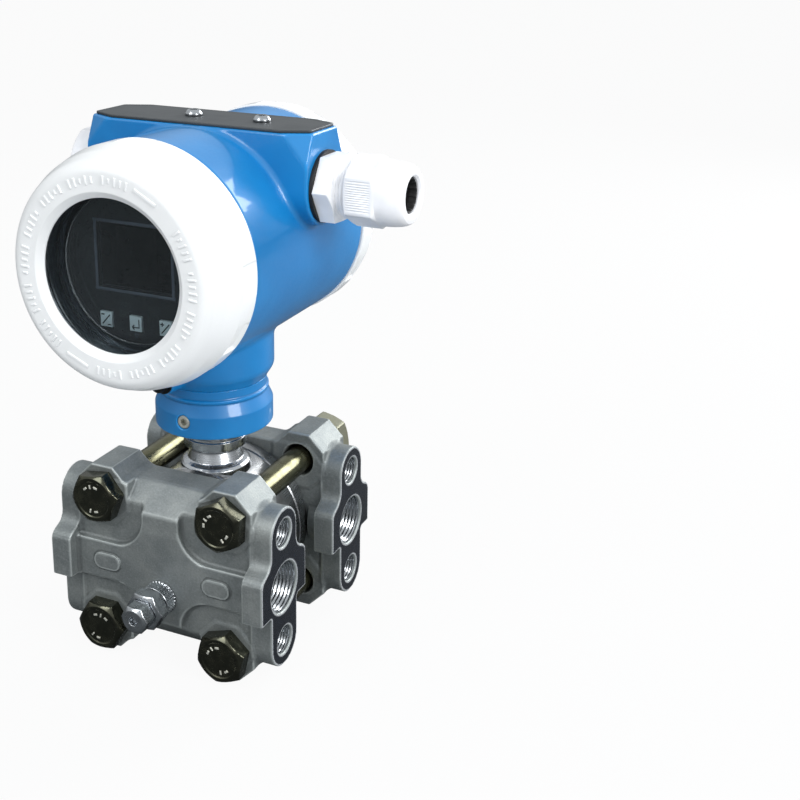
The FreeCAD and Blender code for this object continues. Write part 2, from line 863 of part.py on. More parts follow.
def housing_facet(body, side_x, side_y):
    """Cut one corner of the saddle along a triangle that narrows to its foot."""
    over = RECESS_OVERSHOOT
    corner_x = saddle_half_length
    corner_y = s.saddle_half_width
    sketches = []
    for level, share in ((saddle_top, 1), (saddle_top - s.facet_drop, 0.02)):
        sketch = new_sketch(body, "XY_Plane", level)
        reach_x = corner_x - s.facet_length * share
        reach_y = corner_y - s.facet_width * share
        slope_x = s.facet_length / s.facet_width.value * over
        draw_outline(sketch, order_corners([
            (corner_x * side_x, s.saddle_centre + reach_y * side_y),
            (corner_x * side_x, s.saddle_centre + (corner_y + over) * side_y),
            (reach_x * side_x, s.saddle_centre + (corner_y + over) * side_y),
            (reach_x * side_x, s.saddle_centre + corner_y * side_y),
        ], side_x * side_y))
        sketches.append(sketch)
    loft = body.newObject("PartDesign::SubtractiveLoft", "Facet")
    loft.Profile = sketches[0]
    loft.Sections = [sketches[1]]
    loft.Ruled = True


def order_corners(corners, side):
    """Return the corners anticlockwise whichever side they were mirrored to."""
    return corners if side > 0 else list(reversed(corners))


def housing_neck(body):
    """Turn the stepped neck and its locking collar under the barrel."""
    drop = axis_height
    ledge = s.collar_radius - s.waist_radius
    turned_z(body, [
        (ZERO, collar_bottom - drop),
        (s.collar_radius, collar_bottom - drop),
        (s.collar_radius, collar_top - drop),
        (s.collar_radius - ledge / 2, collar_top + ledge / 2 - drop, ledge / 2),
        (s.waist_radius, waist_bottom - drop),
        (s.waist_radius, waist_top - drop),
        (s.neck_radius, neck_step - drop),
        (s.neck_radius, conduit_rise - drop / 2),
        (ZERO, conduit_rise - drop / 2),
    ])


def housing_ground_boss(body):
    """Pad the small boss on the neck that takes the earth screw."""
    sketch = new_sketch(body, "XZ_Plane", ground_reach, GROUND_TURN)
    draw_circle(sketch, ZERO, ground_height - axis_height, s.ground_boss_radius)
    extrude(body, "Pad", sketch, ground_reach - s.neck_radius / 2, reverse=True)


def housing_bores(body):
    """Cut the two compartments, the wall between them, the entries and the neck bore."""
    front = -s.housing_front
    rear = s.housing_rear
    ring(body, front, s.cover_bore_depth + front, ZERO, cover_bore_radius, kind="Groove")
    ring(body, front, -s.mid_wall_front, ZERO, chamber_bore_radius, kind="Groove")
    ring(body, rear - s.cover_bore_depth, rear, ZERO, cover_bore_radius, kind="Groove")
    ring(body, -s.mid_wall_rear, rear, ZERO, chamber_bore_radius, kind="Groove")
    drop = axis_height
    bore = s.spigot_radius + s.thread_clearance
    turned_z(body, [
        (ZERO, collar_bottom - drop - RECESS_OVERSHOOT),
        (bore, collar_bottom - drop - RECESS_OVERSHOOT),
        (bore, spigot_top + s.neck_passage_radius - drop),
        (ZERO, spigot_top + s.neck_passage_radius - drop),
    ], kind="Groove")
    passage = s.mid_wall_front + s.neck_passage_wall + s.neck_passage_radius
    sketch = new_sketch(body, "XY_Plane", spigot_top - drop)
    draw_circle(sketch, ZERO, -passage, s.neck_passage_radius)
    extrude(body, "Pocket", sketch, chamber_bore_radius / 2, reverse=True)
    entry = saddle_half_length - chamber_bore_radius * CHAMBER_EDGE
    for side in (-1, 1):
        sketch = new_sketch(body, "YZ_Plane", saddle_half_length * side)
        draw_circle(sketch, s.saddle_centre, conduit_rise, s.conduit_radius)
        extrude(body, "Pocket", sketch, entry, reverse=side < 0)
    sketch = new_sketch(body, "XZ_Plane", s.mid_wall_front)
    draw_circle(sketch, ZERO, -s.wire_hole_rise, s.wire_hole_radius)
    extrude(body, "Pocket", sketch, s.mid_wall_front - s.mid_wall_rear)


def housing_screw_holes(body):
    """Cut the holes for the grub, earth and nameplate screws."""
    sketch = new_sketch(body, "XZ_Plane", s.collar_radius)
    draw_circle(sketch, ZERO, grub_height - axis_height, s.grub_radius)
    extrude(body, "Pocket", sketch, s.collar_radius - s.spigot_radius)
    sketch = new_sketch(body, "XZ_Plane", ground_reach, GROUND_TURN)
    draw_circle(sketch, ZERO, ground_height - axis_height, s.ground_screw_radius)
    extrude(body, "Pocket", sketch, ground_reach - s.neck_radius * 0.75)
    sketch = new_sketch(body, "XY_Plane", saddle_top)
    for x in plate_screw_places():
        draw_circle(sketch, x, s.saddle_centre, s.plate_screw_radius)
    extrude(body, "Pocket", sketch, s.plate_screw_radius * 3)


def plate_screw_places():
    """Return the x of the two nameplate screws."""
    half = s.plate_screw_spacing / 2
    return (s.plate_screw_centre - half, s.plate_screw_centre + half)


def make_housing():
    """Cast the housing in one piece: barrel, saddle, neck, bosses and bores."""
    body = housing_body("housing")
    housing_barrel(body)
    housing_saddle(body)
    housing_neck(body)
    housing_ground_boss(body)
    housing_bores(body)
    housing_screw_holes(body)


def make_collar_grub_screw():
    """Make the socket set screw that locks the collar on the spigot."""
    body = housing_body("collar_grub_screw")
    level = grub_height - axis_height
    face = s.collar_radius - s.cover_gap
    sketch = new_sketch(body, "XZ_Plane", face)
    draw_circle(sketch, ZERO, level, s.grub_radius)
    depth = face - s.spigot_radius - s.cover_gap
    extrude(body, "Pad", sketch, depth, reverse=True)
    sketch = new_sketch(body, "XZ_Plane", face)
    draw_polygon(sketch, ZERO, level, s.grub_radius, 6, 0)
    extrude(body, "Pocket", sketch, depth / 2)


def make_ground_screw():
    """Make the socket cap screw of the earth terminal."""
    body = housing_body("ground_screw")
    level = ground_height - axis_height
    sketch = new_sketch(body, "XZ_Plane", ground_reach, GROUND_TURN)
    draw_circle(sketch, ZERO, level, s.ground_head_radius)
    extrude(body, "Pad", sketch, s.ground_head_height)
    sketch = new_sketch(body, "XZ_Plane", ground_reach, GROUND_TURN)
    draw_circle(sketch, ZERO, level, s.ground_screw_radius)
    extrude(body, "Pad", sketch, ground_reach - s.neck_radius * 0.8, reverse=True)
    sketch = new_sketch(body, "XZ_Plane", ground_reach + s.ground_head_height, GROUND_TURN)
    draw_polygon(sketch, ZERO, level, s.ground_head_radius, 6, 0)
    extrude(body, "Pocket", sketch, s.ground_head_height * 0.7)


def make_nameplate():
    """Make the flat plate with cut corners and its two pan-head screws."""
    body = new_body("nameplate", y=s.saddle_centre, z=saddle_top_z)
    half_x = saddle_half_length - s.plate_margin
    half_y = s.saddle_half_width - s.plate_margin / 2
    cut_x = half_x - s.facet_length
    end_y = s.plate_end_half
    sketch = new_sketch(body, "XY_Plane")
    draw_outline(sketch, [
        (half_x, -end_y), (half_x, end_y), (cut_x, half_y), (-cut_x, half_y),
        (-half_x, end_y), (-half_x, -end_y), (-cut_x, -half_y), (cut_x, -half_y),
    ])
    extrude(body, "Pad", sketch, s.plate_thickness)
    sketch = new_sketch(body, "XY_Plane")
    for x in plate_screw_places():
        draw_circle(sketch, x, ZERO, s.plate_screw_radius)
    extrude(body, "Pocket", sketch, s.plate_thickness, reverse=True)
    screws = new_body("nameplate_screws", y=s.saddle_centre, z=saddle_top_z)
    sketch = new_sketch(screws, "XY_Plane", s.plate_thickness)
    for x in plate_screw_places():
        draw_circle(sketch, x, ZERO, s.plate_screw_head_radius)
    extrude(screws, "Pad", sketch, s.plate_screw_head_height)
    sketch = new_sketch(screws, "XY_Plane", s.plate_thickness)
    for x in plate_screw_places():
        draw_circle(sketch, x, ZERO, s.plate_screw_radius)
    extrude(screws, "Pad", sketch, s.plate_thickness + s.plate_screw_radius * 2, reverse=True)


def cut_lug_gaps(body, rear_edge, side):
    """Cut the grip gaps between the lugs of a cover, all round its rear part."""
    angle = math.radians(LUG_HALF_ANGLE)
    low = cover_radius - s.lug_rise
    high = cover_radius + RECESS_OVERSHOOT
    start = rear_edge + s.lug_rim + s.lug_length
    sketch = new_sketch(body, "XZ_Plane", start if side < 0 else -(rear_edge + s.lug_rim))
    corners = [(low, -1), (high, -1), (high, 1), (low, 1)]
    draw_outline(sketch, [
        (radius * math.cos(angle), radius * math.sin(angle * sign)) for radius, sign in corners
    ])
    pocket = extrude(body, "Pocket", sketch, s.lug_length)
    pattern = body.newObject("PartDesign::PolarPattern", "Lugs")
    pattern.Originals = [pocket]
    pattern.Axis = (origin_feature(body, "Y_Axis"), [""])
    pattern.Angle = 360
    pattern.Occurrences = LUG_COUNT
    body.Tip = pattern


def make_front_cover():
    """Turn the windowed cover: skirt, bezel, glass seat, cavity and screwed spigot."""
    body = housing_body("front_cover")
    rear = s.housing_front + s.cover_gap
    spigot_end = s.housing_front - s.cover_spigot_length
    spigot = cover_spigot_radius
    seat = s.bezel_face - s.window_recess
    ring_back = seat - s.glass_thickness - s.ring_thickness
    shoulder = s.cover_shoulder
    turned_y(body, [
        (-rear, cover_radius - s.lug_rise / 2),
        (-rear - s.lug_rise / 2, cover_radius),
        (-rear - s.lug_rim - s.lug_length - s.lug_rise, cover_radius),
        (-shoulder, cover_radius - s.cover_shoulder_draft),
        (s.bezel_round / 2 - s.bezel_face, cover_radius - s.bezel_draft + s.bezel_round / 4),
        (-s.bezel_face, cover_radius - s.bezel_draft - s.bezel_round / 4, s.bezel_round),
        (-s.bezel_face, window_radius + s.bezel_lip),
        (-seat - s.lug_rim / 2, window_radius),
        (-seat, window_radius),
        (-seat, glass_radius),
        (-ring_back, glass_radius),
        (-ring_back, cover_cavity_radius),
        (-spigot_end, cover_cavity_radius),
        (-spigot_end, spigot - s.cover_gap),
        (-spigot_end - s.cover_gap, spigot),
        (-rear, spigot),
    ])
    cut_lug_gaps(body, rear, -1)
    cut_seal_groove(body, -rear)


def cut_seal_groove(body, low):
    """Cut the O-ring groove round a cover's spigot next to its skirt."""
    spigot = cover_spigot_radius
    side = 1 if low.value < 0 else -1
    ends = sorted((low, low + s.seal_thickness * side), key=lambda size: size.value)
    ring(body, ends[0], ends[1], spigot - s.seal_depth, spigot + s.cover_gap, kind="Groove")


def make_cover_seal(label, low):
    """Turn the O-ring that fills a cover's groove."""
    body = housing_body(label)
    spigot = cover_spigot_radius
    side = 1 if low.value < 0 else -1
    ends = sorted((low, low + s.seal_thickness * side), key=lambda size: size.value)
    ring(body, ends[0], ends[1], spigot - s.seal_depth, spigot)


def make_window():
    """Turn the window glass and the screwed ring that holds it in the cover."""
    seat = s.bezel_face - s.window_recess
    back = seat - s.glass_thickness
    glass = housing_body("window_glass")
    ring(glass, -seat, -back, ZERO, glass_radius - s.glass_clearance)
    retainer = housing_body("window_retaining_ring")
    ring(retainer, -back, s.ring_thickness - back, glass_radius - s.ring_width, glass_radius)


def make_rear_cover():
    """Turn the blind rear cover with the same lugs and spigot."""
    body = housing_body("rear_cover")
    front = s.housing_rear + s.cover_gap
    back = front + s.rear_cover_depth
    spigot = cover_spigot_radius
    spigot_end = s.housing_rear - s.cover_spigot_length
    bend = s.rear_cover_round
    turned_y(body, [
        (spigot_end, cover_cavity_radius),
        (back - s.rear_cover_wall, cover_cavity_radius),
        (back - s.rear_cover_wall, ZERO),
        (back, ZERO),
        (back, cover_radius - s.lug_rise - bend),
        (back - bend, cover_radius - s.lug_rise, -bend),
        (front + s.lug_rim + s.lug_length + s.lug_rise, cover_radius - s.lug_rise / 2),
        (front + s.lug_rim + s.lug_length, cover_radius),
        (front + s.lug_rise / 2, cover_radius),
        (front, cover_radius - s.lug_rise / 2),
        (front, spigot),
        (spigot_end + s.cover_gap, spigot),
        (spigot_end, spigot - s.cover_gap),
    ])
    cut_lug_gaps(body, front, 1)
    cut_seal_groove(body, front)


def key_names():
    """Return the label and x of each key below the display."""
    return (("left_key", -s.key_spacing), ("middle_key", ZERO), ("right_key", s.key_spacing))


def make_display_faceplate():
    """Turn the stepped dark faceplate and cut the display and key pockets."""
    body = housing_body("display_faceplate")
    face = s.display_face
    step = face - s.display_step
    back = face - s.display_thickness
    turned_y(body, [
        (-face, ZERO),
        (-back, ZERO),
        (-back, display_radius),
        (-step, display_radius),
        (-step, display_inner_radius + s.display_step / 2),
        (-face, display_inner_radius),
    ])
    half = s.lcd_width / 2
    sketch = new_sketch(body, "XZ_Plane", face)
    draw_box(sketch, -half, half, s.lcd_rise - s.lcd_height / 2, s.lcd_rise + s.lcd_height / 2)
    extrude(body, "Pocket", sketch, s.lcd_recess + s.lcd_thickness)
    sketch = new_sketch(body, "XZ_Plane", face)
    gap = s.key_clearance
    for _, x in key_names():
        draw_box(sketch, x - s.key_width / 2 - gap, x + s.key_width / 2 + gap,
                 -s.key_drop - s.key_height / 2 - gap, s.key_height / 2 - s.key_drop + gap)
    extrude(body, "Pocket", sketch, s.key_pocket_depth)


def make_lcd_panel():
    """Make the display glass that lies in the faceplate's recess."""
    body = housing_body("lcd_panel")
    half = s.lcd_width / 2 - s.lcd_clearance
    tall = s.lcd_height / 2 - s.lcd_clearance
    sketch = new_sketch(body, "XZ_Plane", s.display_face - s.lcd_recess - s.lcd_thickness)
    draw_box(sketch, -half, half, s.lcd_rise - tall, s.lcd_rise + tall)
    extrude(body, "Pad", sketch, s.lcd_thickness)


def make_keys():
    """Make the three square keys that stand just proud of the faceplate."""
    for label, x in key_names():
        body = housing_body(label)
        sketch = new_sketch(body, "XZ_Plane", s.display_face + s.key_rise - s.key_depth)
        draw_box(sketch, x - s.key_width / 2, x + s.key_width / 2,
                 -s.key_drop - s.key_height / 2, s.key_height / 2 - s.key_drop)
        extrude(body, "Pad", sketch, s.key_depth)


def make_display_board():
    """Make the circuit board behind the faceplate and the pillars that carry both."""
    body = housing_body("display_board")
    front = s.display_face - s.display_thickness
    ring(body, -front, s.board_thickness - front, ZERO, display_radius - s.board_margin)
    pillars = housing_body("display_pillars")
    board_back = front - s.board_thickness
    module_front = s.mid_wall_front + s.module_depth
    pillar_pitch = module_radius - s.pillar_inset
    sketch = new_sketch(pillars, "XZ_Plane", module_front)
    for index in range(PILLAR_COUNT):
        angle = math.radians(PILLAR_TURN + 360 * index / PILLAR_COUNT)
        draw_circle(sketch, pillar_pitch * math.cos(angle),
                    pillar_pitch * math.sin(angle), s.pillar_radius)
    extrude(pillars, "Pad", sketch, board_back - module_front)


def make_electronics_module():
    """Turn the potted electronics module that stands on the mid wall."""
    body = housing_body("electronics_module")
    front = s.mid_wall_front + s.module_depth
    bevel = s.lug_rise
    turned_y(body, [
        (-front, ZERO),
        (-s.mid_wall_front, ZERO),
        (-s.mid_wall_front, module_radius),
        (bevel - front, module_radius),
        (-front, module_radius - bevel),
    ])


def make_terminal_block():
    """Turn the terminal block and cut the wells of its three screws."""
    body = housing_body("terminal_block")
    low = -s.mid_wall_rear
    high = s.terminal_thickness - s.mid_wall_rear
    ring(body, low, high, ZERO, module_radius)
    sketch = new_sketch(body, "XZ_Plane", -high)
    for side in (-1, 0, 1):
        draw_circle(sketch, s.terminal_spacing * side, ZERO, s.terminal_well_radius)
    extrude(body, "Pocket", sketch, s.terminal_well_depth, reverse=True)
    screws = housing_body("terminal_screws")
    floor = high - s.terminal_well_depth
    sketch = new_sketch(screws, "XZ_Plane", -floor)
    for side in (-1, 0, 1):
        draw_circle(sketch, s.terminal_spacing * side, ZERO, s.terminal_head_radius)
    extrude(screws, "Pad", sketch, s.terminal_head_height, reverse=True)


def make_gland_washer(label, side):
    """Make the flat sealing washer under the gland or the plug."""
    body = conduit_body(label)
    ends = sorted((saddle_half_length * side, gland_start * side), key=lambda size: size.value)
    ring(body, ends[0], ends[1], s.conduit_radius + s.thread_clearance, s.gland_washer_radius,
         turned=turned_x)


def make_gland_body():
    """Make the gland's hexagon, its entry thread and the thread for the dome nut."""
    body = conduit_body("gland_body")
    hex_end = gland_start + s.gland_hex_length
    sketch = new_sketch(body, "YZ_Plane", gland_start)
    draw_polygon(sketch, ZERO, ZERO, s.gland_hex_width, 6, 0)
    extrude(body, "Pad", sketch, s.gland_hex_length)
    ring(body, gland_start - s.gland_entry_length, gland_start, ZERO, s.conduit_radius,
         turned=turned_x)
    thread_end = hex_end + s.gland_neck_length + s.gland_thread_length
    ring(body, hex_end, thread_end, ZERO, s.gland_thread_radius, turned=turned_x)
    ring(body, gland_start - s.gland_entry_length, thread_end, ZERO, s.gland_bore_radius,
         turned=turned_x, kind="Groove")
    seat = s.gland_seal_radius
    ring(body, thread_end - s.gland_seal_length * 0.6, thread_end, ZERO, seat,
         turned=turned_x, kind="Groove")


def make_gland_seal():
    """Turn the rubber bush that grips the cable."""
    body = conduit_body("gland_seal")
    start = gland_nut_start + s.gland_thread_length - s.gland_seal_length * 0.6
    ring(body, start, start + s.gland_seal_length, s.gland_seal_bore, s.gland_seal_radius,
         turned=turned_x)


def make_gland_nut():
    """Make the dome nut: hexagon, rounded dome and the bores inside it."""
    body = conduit_body("gland_nut")
    hex_end = gland_nut_start + s.gland_nut_length
    sketch = new_sketch(body, "YZ_Plane", gland_nut_start)
    draw_polygon(sketch, ZERO, ZERO, s.gland_hex_width, 6, 90)
    extrude(body, "Pad", sketch, s.gland_nut_length)
    bend = s.gland_dome_length
    turned_x(body, [
        (hex_end, ZERO),
        (hex_end + s.gland_dome_length, ZERO),
        (hex_end + s.gland_dome_length, s.gland_dome_radius),
        (hex_end, s.gland_hex_width / 2, bend * 1.25),
    ])
    thread = s.gland_thread_radius + s.thread_clearance
    thread_end = gland_nut_start + s.gland_thread_length + s.cover_gap
    seal = s.gland_seal_radius + s.cover_gap
    mouth = hex_end + s.gland_dome_length
    turned_x(body, [
        (gland_nut_start, ZERO),
        (mouth, ZERO),
        (mouth, s.gland_mouth_radius),
        (mouth - s.gland_mouth_radius / 2, s.gland_mouth_radius),
        (mouth - s.gland_mouth_radius / 2, seal),
        (thread_end, seal),
        (thread_end, thread),
        (gland_nut_start, thread),
    ], kind="Groove")


def make_blind_plug():
    """Make the hexagonal blind plug with a rounded face."""
    body = conduit_body("blind_plug")
    sketch = new_sketch(body, "YZ_Plane", -gland_start)
    draw_polygon(sketch, ZERO, ZERO, s.plug_width, 6, 0)
    extrude(body, "Pad", sketch, s.plug_length, reverse=True)
    ring(body, -gland_start, s.gland_entry_length - gland_start, ZERO,
         s.conduit_radius - s.thread_clearance, turned=turned_x)
    corner = s.plug_width / 2 * HEX_CORNER
    bend = s.plug_round
    turned_x(body, [
        (-plug_end - RECESS_OVERSHOOT, corner - bend),
        (-plug_end, corner - bend),
        (bend - plug_end, corner, -bend),
        (bend - plug_end, corner + RECESS_OVERSHOOT),
        (-plug_end - RECESS_OVERSHOOT, corner + RECESS_OVERSHOOT),
    ], kind="Groove")


def build():
    """Build every sub-part of the transmitter."""
    make_sensor_module()
    make_neck_seal()
    make_isolating_diaphragms()
    make_flange_gaskets()
    make_flange("front_flange", 1, None)
    make_flange("rear_flange", -1, Rotation(Vector(0, 0, 1), 180))
    make_flange_bolts()
    make_vent("front", None)
    make_vent("rear", Rotation(Vector(0, 0, 1), 180))
    make_housing()
    make_collar_grub_screw()
    make_ground_screw()
    make_nameplate()
    make_front_cover()
    make_cover_seal("front_cover_seal", -s.housing_front - s.cover_gap)
    make_window()
    make_rear_cover()
    make_cover_seal("rear_cover_seal", s.housing_rear + s.cover_gap)
    make_display_faceplate()
    make_lcd_panel()
    make_keys()
    make_display_board()
    make_electronics_module()
    make_terminal_block()
    make_gland_washer("gland_washer", 1)
    make_gland_washer("plug_washer", -1)
    make_gland_body()
    make_gland_seal()
    make_gland_nut()
    make_blind_plug()


def sub_parts():
    """Return the objects that are written out, one for each node."""
    kinds = ("PartDesign::Body", "Part::Compound")
    return [item for item in doc.Objects if item.TypeId in kinds]


def check_and_export():
    """Stop if anything failed, then write one STEP file for each sub-part."""
    failed = [item.Label for item in doc.Objects
              if "Invalid" in item.State or "Error" in item.State]
    if failed:
        raise RuntimeError("these objects failed: " + ", ".join(failed))
    for part in sub_parts():
        if part.Shape.isNull() or not part.Shape.isValid():
            raise RuntimeError("no valid shape in " + part.Label)
    os.makedirs("parts", exist_ok=True)
    for part in sub_parts():
        part.Shape.exportStep("parts/%s.step" % part.Label)


build()
doc.recompute()
check_and_export()
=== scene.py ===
"""Field-mounted differential pressure transmitter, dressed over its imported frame.

Shapes are worked out in millimetres about the neck's axis, with z = 0 on the centre line
of the process ports, and are moved into the frame once, when their mesh is made.
"""

import logging
import math
from dataclasses import dataclass
from enum import Enum
from functools import lru_cache
from itertools import product
from typing import Callable, Iterable, Sequence

import bmesh
import bpy
import numpy as np
from mathutils import Matrix, Vector


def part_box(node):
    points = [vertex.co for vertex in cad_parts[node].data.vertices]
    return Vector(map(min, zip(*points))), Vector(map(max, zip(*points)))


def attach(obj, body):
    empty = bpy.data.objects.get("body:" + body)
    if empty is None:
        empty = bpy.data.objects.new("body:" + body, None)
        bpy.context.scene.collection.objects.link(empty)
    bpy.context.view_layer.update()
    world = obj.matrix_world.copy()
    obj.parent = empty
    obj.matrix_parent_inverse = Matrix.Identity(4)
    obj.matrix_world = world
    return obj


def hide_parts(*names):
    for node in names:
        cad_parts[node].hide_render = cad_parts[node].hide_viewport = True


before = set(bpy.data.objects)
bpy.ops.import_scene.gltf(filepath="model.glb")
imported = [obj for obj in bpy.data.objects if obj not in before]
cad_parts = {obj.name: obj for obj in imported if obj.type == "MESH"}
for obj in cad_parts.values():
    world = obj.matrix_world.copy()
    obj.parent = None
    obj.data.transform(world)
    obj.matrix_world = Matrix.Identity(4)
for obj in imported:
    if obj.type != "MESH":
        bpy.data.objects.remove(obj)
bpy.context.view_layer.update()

LOG = logging.getLogger("transmitter")
MM = 0.001
Array = np.ndarray
Point = tuple[float, float, float]
Colour = tuple[float, float, float, float]
Corner = tuple[float, ...]

# Further out than any piece, in millimetres.
FAR = 300.0
# How a surface is found on its grid: a block of grid points has STRIDE of them a side and is
# worked out when the surface is within NEAR sides of its middle, BATCH points at a time.
STRIDE = 4
NEAR = 1.1
BATCH = 60000
# Half steps, in millimetres, of the slopes that points move along and that normals follow.
MOVE_STEP = 0.02
NORMAL_STEP = 0.05


class Axis(Enum):
    """The frame's axes, as indices into a point."""

    X = 0
    Y = 1
    Z = 2


class Body(Enum):
    """The bodies that pieces ride on."""

    PROCESS = "process_body"
    HOUSING = "housing_group"
    FRONT_COVER = "front_cover_group"
    REAR_COVER = "rear_cover_group"
    FRONT_STEM = "front_vent_stem"
    REAR_STEM = "rear_vent_stem"
    GLAND_NUT = "gland_nut"
    PLUG = "blind_plug"
    LEFT_KEY = "left_key"
    MIDDLE_KEY = "middle_key"
    RIGHT_KEY = "right_key"


def middle(node: str) -> Array:
    """Return the middle of a CAD node's box, in millimetres."""
    low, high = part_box(node)
    return (np.array(low) + np.array(high)) / 2 / MM


NECK = np.array([*middle("neck_seal")[:2], middle("front_flange")[2]])


# ---------------------------------------------------------------- signed distances

Distance = Callable[[Array], Array]


def round_min(first: Array, second: Array, radius: float) -> Array:
    """Return min(first, second) with a circular fillet of radius where both meet."""
    if radius <= 0:
        return np.minimum(first, second)
    over = np.hypot(np.maximum(radius - first, 0), np.maximum(radius - second, 0))
    return np.maximum(radius, np.minimum(first, second)) - over


def round_max(first: Array, second: Array, radius: float) -> Array:
    """Return max(first, second) with a circular round of radius where both meet."""
    return -round_min(-first, -second, radius)


@dataclass(frozen=True)
class Solid:
    """A solid given by its signed distance in millimetres, negative inside."""

    distance: Distance

    def join(self, other: "Solid", fillet: float = 0.0) -> "Solid":
        """Return both solids as one, with a fillet of that radius between them."""
        return Solid(lambda p: round_min(self.distance(p), other.distance(p), fillet))

    def cut(self, other: "Solid", edge: float = 0.0) -> "Solid":
        """Return this solid without the other, with the new edges rounded by edge."""
        return Solid(lambda p: round_max(self.distance(p), -other.distance(p), edge))

    def common(self, other: "Solid", edge: float = 0.0) -> "Solid":
        """Return what both solids share, with the new edges rounded by edge."""
        return Solid(lambda p: round_max(self.distance(p), other.distance(p), edge))


def other_axes(axis: Axis) -> tuple[int, int]:
    """Return the indices of the two axes across the given one."""
    first, second = (index for index in range(3) if index != axis.value)
    return first, second


def slab(axis: Axis, low: float, high: float) -> Solid:
    """Return the space between two planes: the larger of low - a and a - high."""
    return Solid(lambda p: np.maximum(low - p[..., axis.value], p[..., axis.value] - high))


def cylinder(axis: Axis, centre: tuple[float, float], radius: float, low: float, high: float,
             edge: float = 0.0) -> Solid:
    """Return a cylinder along an axis: distance from its line less the radius."""
    first, second = other_axes(axis)

    def distance(p: Array) -> Array:
        return np.hypot(p[..., first] - centre[0], p[..., second] - centre[1]) - radius

    return Solid(distance).common(slab(axis, low, high), edge)


def block(low: Point, high: Point, edge: float = 0.0) -> Solid:
    """Return a box between two corners, its edges rounded by edge."""
    x_slab, y_slab, z_slab = (slab(axis, low[axis.value], high[axis.value]) for axis in Axis)
    return x_slab.common(y_slab, edge).common(z_slab, edge)


def half_space(point: Point, normal: Point) -> Solid:
    """Return everything behind a plane through point, on the side away from normal."""
    unit = np.array(normal) / np.linalg.norm(normal)
    offset = float(np.dot(unit, point))
    return Solid(lambda p: p @ unit.astype(p.dtype) - offset)


def outline_distance(u: Array, v: Array, corners: Array) -> Array:
    """Return the signed distance to a closed outline.

    It is the least distance to any side, negative where an upward ray from the point
    crosses the outline an odd number of times.

    Args:
        u: first coordinates of the points.
        v: second coordinates of the points.
        corners: the outline's corners, one row each.
    """
    least = np.full(u.shape, np.inf, u.dtype)
    inside = np.zeros(u.shape, bool)
    for start, end in zip(corners, np.roll(corners, -1, axis=0)):
        du, dv = end - start
        share = np.clip(((u - start[0]) * du + (v - start[1]) * dv) / (du * du + dv * dv), 0, 1)
        gap_u = u - start[0] - share * du
        gap_v = v - start[1] - share * dv
        least = np.minimum(least, gap_u * gap_u + gap_v * gap_v)
        if dv:
            level = (start[1] <= v) != (end[1] <= v)
            inside ^= level & (u < start[0] + (v - start[1]) * (du / dv))
    least = np.sqrt(least)
    return np.where(inside, -least, least)


def prism(axis: Axis, corners: Array, low: float, high: float, edge: float = 0.0) -> Solid:
    """Return an outline drawn across an axis and carried along it from low to high."""
    first, second = other_axes(axis)
    outline = np.asarray(corners, float)
    sides = Solid(lambda p: outline_distance(p[..., first], p[..., second], outline))
    return sides.common(slab(axis, low, high), edge)


def turned(axis: Axis, centre: tuple[float, float], corners: Array) -> Solid:
    """Return an outline of (axial, radius) corners turned about a line along an axis."""
    first, second = other_axes(axis)
    outline = np.asarray(corners, float)

    def distance(p: Array) -> Array:
        radius = np.hypot(p[..., first] - centre[0], p[..., second] - centre[1])
        return outline_distance(p[..., axis.value], radius, outline)

    return Solid(distance)


@dataclass(frozen=True)
class Skin:
    """A surface as points in millimetres with their faces, normals and curvature."""

    points: Array
    faces: Array
    normals: Array | None = None
    curvature: Array | None = None


def gradient(solid: Solid, points: Array, step: float) -> tuple[Array, Array]:
    """Return a solid's slope at points, and the sum of its second differences.

    Args:
        solid: the solid.
        points: one row each.
        step: the central difference's half step, in millimetres.
    """
    here = solid.distance(points)
    slope = np.empty_like(points)
    bend = np.zeros(len(points))
    for axis in Axis:
        shift = np.zeros(3)
        shift[axis.value] = step
        ahead = solid.distance(points + shift)
        behind = solid.distance(points - shift)
        slope[:, axis.value] = (ahead - behind) / (2 * step)
        bend += (ahead + behind - 2 * here) / step**2
    return slope, bend


def sample(solid: Solid, low: Point, high: Point, cell: float) -> Array:
    """Return a solid's distance on a grid, worked out only near its surface.

    Blocks of grid points whose middle lies further from the surface than their corners
    do get just their sign.

    Args:
        solid: the solid.
        low: the grid's lowest corner.
        high: the grid's highest corner.
        cell: the grid's pitch, in millimetres.
    """
    counts = [math.ceil((b - a) / cell / STRIDE) + 1 for a, b in zip(low, high)]
    blocks = np.argwhere(np.ones(counts, bool))
    corner = np.array(low, float)
    middles = solid.distance(corner + (blocks * STRIDE + (STRIDE - 1) / 2) * cell)
    near = np.abs(middles) < STRIDE * cell * NEAR
    signs = np.where(middles < 0, -1, 1).astype(np.float32).reshape(counts)
    values = signs.repeat(STRIDE, 0).repeat(STRIDE, 1).repeat(STRIDE, 2)
    inner = np.argwhere(np.ones((STRIDE, STRIDE, STRIDE), bool))
    nodes = (blocks[near][:, None] * STRIDE + inner).reshape(-1, 3)
    for part in np.array_split(nodes, max(1, len(nodes) // BATCH)):
        values[tuple(part.T)] = solid.distance(corner + part * cell)
    return values


def crossings(values: Array, cells: Array) -> Array:
    """Return for each cell the mean of the points where its edges cross zero."""
    total = np.zeros((len(cells), 3))
    count = np.zeros(len(cells))
    for axis in Axis:
        first, second = other_axes(axis)
        for near, far in product((0, 1), repeat=2):
            start = np.zeros(3, int)
            start[first], start[second] = near, far
            end = start.copy()
            end[axis.value] = 1
            low = values[tuple((cells + start).T)]
            high = values[tuple((cells + end).T)]
            crossed = (low < 0) != (high < 0)
            share = np.where(crossed, low / np.where(crossed, low - high, 1), 0)
            total += crossed[:, None] * (start + share[:, None] * (end - start))
            count += crossed
    return total / count[:, None]


